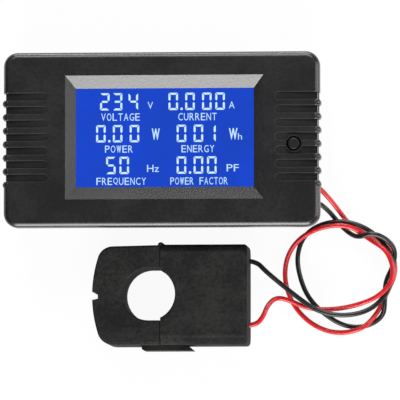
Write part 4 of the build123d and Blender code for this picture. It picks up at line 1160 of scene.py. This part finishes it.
@dataclass
class Studio:
    """White table, soft panels round it and the camera above it.

    Attributes:
        aim: what the camera and the panels point at.
        lean: the direction from there to the camera.
        distance: how far the camera is.
        view_width: how much of the object's level it takes in, from side to side.
        sight: how far it sees.
        table_side: how large the table is.
        table_colour: what the table is where it lights the object and holds the shadow.
        table_white: the share of pure white in what the eye and mirrors see of it.
        air: the even light from all round.
    """

    aim: tuple[float, float, float] = (11.02 * MM, -17.3 * MM, 24.4 * MM)
    lean: tuple[float, float, float] = (0.075, -0.067, 1.0)
    distance: float = 1.8
    view_width: float = 112.85 * MM
    sight: float = 10.0
    table_side: float = 4.0
    table_colour: str = "#F4F4F4"
    table_white: float = 0.94
    air: float = 0.11
    panels: tuple[Panel, ...] = (
        Panel("front_high", (0.0, -0.61, 0.69), (0.6, 0.3), 4.0),
        Panel("front_panel", (0.0, -0.8, 0.4), (0.5, 0.32), 13.0),
        Panel("front_low", (0.0, -0.89, 0.12), (0.7, 0.22), 9.0),
        Panel("back_high", (0.0, 0.61, 0.68), (0.6, 0.38), 7.5),
        Panel("back_middle", (0.0, 0.8, 0.4), (0.7, 0.2), 0.6),
        Panel("back_low", (0.0, 0.89, 0.1), (0.7, 0.2), 14.0),
        Panel("right_high", (0.7, 0.0, 0.65), (0.5, 0.3), 5.0),
        Panel("right_middle", (0.87, 0.0, 0.25), (0.5, 0.2), 2.8),
        Panel("right_low", (0.9, 0.0, 0.07), (0.5, 0.12), 9.0),
        Panel("left_low", (-0.9, 0.0, 0.06), (0.5, 0.1), 2.0),
    )

    def build_floor(self) -> None:
        """Makes the white table, which stays white to the eye and keeps a soft shadow."""
        start_piece()
        bpy.ops.mesh.primitive_plane_add(size=self.table_side)
        floor = bpy.context.object
        floor.name = "table"
        made = bpy.data.materials.new("laminate_white_table")
        made.use_nodes = True
        tree = made.node_tree
        tree.nodes.clear()
        rays = put(tree, "ShaderNodeLightPath")
        seen = rays.outputs["Is Camera Ray"]
        for ray in ("Is Glossy Ray", "Is Transmission Ray"):
            seen = reckon(tree, "MAXIMUM", seen, rays.outputs[ray])
        diffuse = put(tree, "ShaderNodeBsdfDiffuse", {"Color": linear(self.table_colour)})
        white = put(tree, "ShaderNodeEmission", {"Color": linear(WHITE), "Strength": 1.0})
        soft = put(
            tree,
            "ShaderNodeMixShader",
            {"Fac": self.table_white, 1: diffuse.outputs[0], 2: white.outputs[0]},
        )
        mixed = put(
            tree, "ShaderNodeMixShader", {"Fac": seen, 1: diffuse.outputs[0], 2: soft.outputs[0]}
        )
        put(tree, "ShaderNodeOutputMaterial", {"Surface": mixed.outputs[0]})
        floor.data.materials.append(made)

    def build_lights(self) -> None:
        """Hangs the panels, each turned to the object, with a stated radiance."""
        for panel in self.panels:
            light = bpy.data.lights.new(panel.name, "AREA")
            light.shape = "RECTANGLE"
            light.size, light.size_y = panel.size
            light.energy = panel.radiance * math.pi * light.size * light.size_y
            lamp = bpy.data.objects.new(panel.name, light)
            bpy.context.collection.objects.link(lamp)
            lamp.location = panel.spot
            towards = Vector(self.aim) - Vector(panel.spot)
            lamp.rotation_euler = towards.to_track_quat("-Z", "Y").to_euler()

    def build_world(self) -> None:
        """Fills the room with an even pale grey."""
        world = bpy.data.worlds.new("studio_air")
        world.use_nodes = True
        sockets = world.node_tree.nodes["Background"].inputs
        sockets["Color"].default_value = linear(WHITE)
        sockets["Strength"].default_value = self.air
        bpy.context.scene.world = world

    def build_camera(self) -> None:
        """Sets a long lens above the table, leaning a little to the right and front."""
        data = bpy.data.cameras.new("camera")
        data.lens = data.sensor_width * self.distance / self.view_width
        data.clip_end = self.sight
        camera = bpy.data.objects.new("camera", data)
        bpy.context.collection.objects.link(camera)
        back = Vector(self.lean).normalized()
        right = Vector((0, 1, 0)).cross(back).normalized()
        up = back.cross(right)
        turn = Matrix((right, up, back)).transposed().to_4x4()
        eye = Vector(self.aim) + back * self.distance
        camera.matrix_world = Matrix.Translation(eye) @ turn
        bpy.context.scene.camera = camera

    def build(self) -> None:
        """Builds the stage."""
        self.build_floor()
        self.build_lights()
        self.build_world()
        self.build_camera()
        bpy.context.scene.view_settings.view_transform = "Standard"
        LOG.info("stage ready, lens %.0f mm", bpy.context.scene.camera.data.lens)


def main() -> None:
    """Builds the camera and cords first, then the display, the numbers and the finishes."""
    logging.basicConfig(level=logging.INFO, format="%(name)s: %(message)s")
    red = Lead("red_lead_laid", "red_lead", "lead_red", RED_SLEEVE, 0.189, RED_ROUTE)
    black = Lead("black_lead_laid", "black_lead", "lead_black", BLACK_SLEEVE, 0.182, BLACK_ROUTE)
    for assembly in (Studio(), red, black, Display(), EntryNumbers()):
        assembly.build()
    dress(NODE_FINISH)


if __name__ == "__main__":
    main()
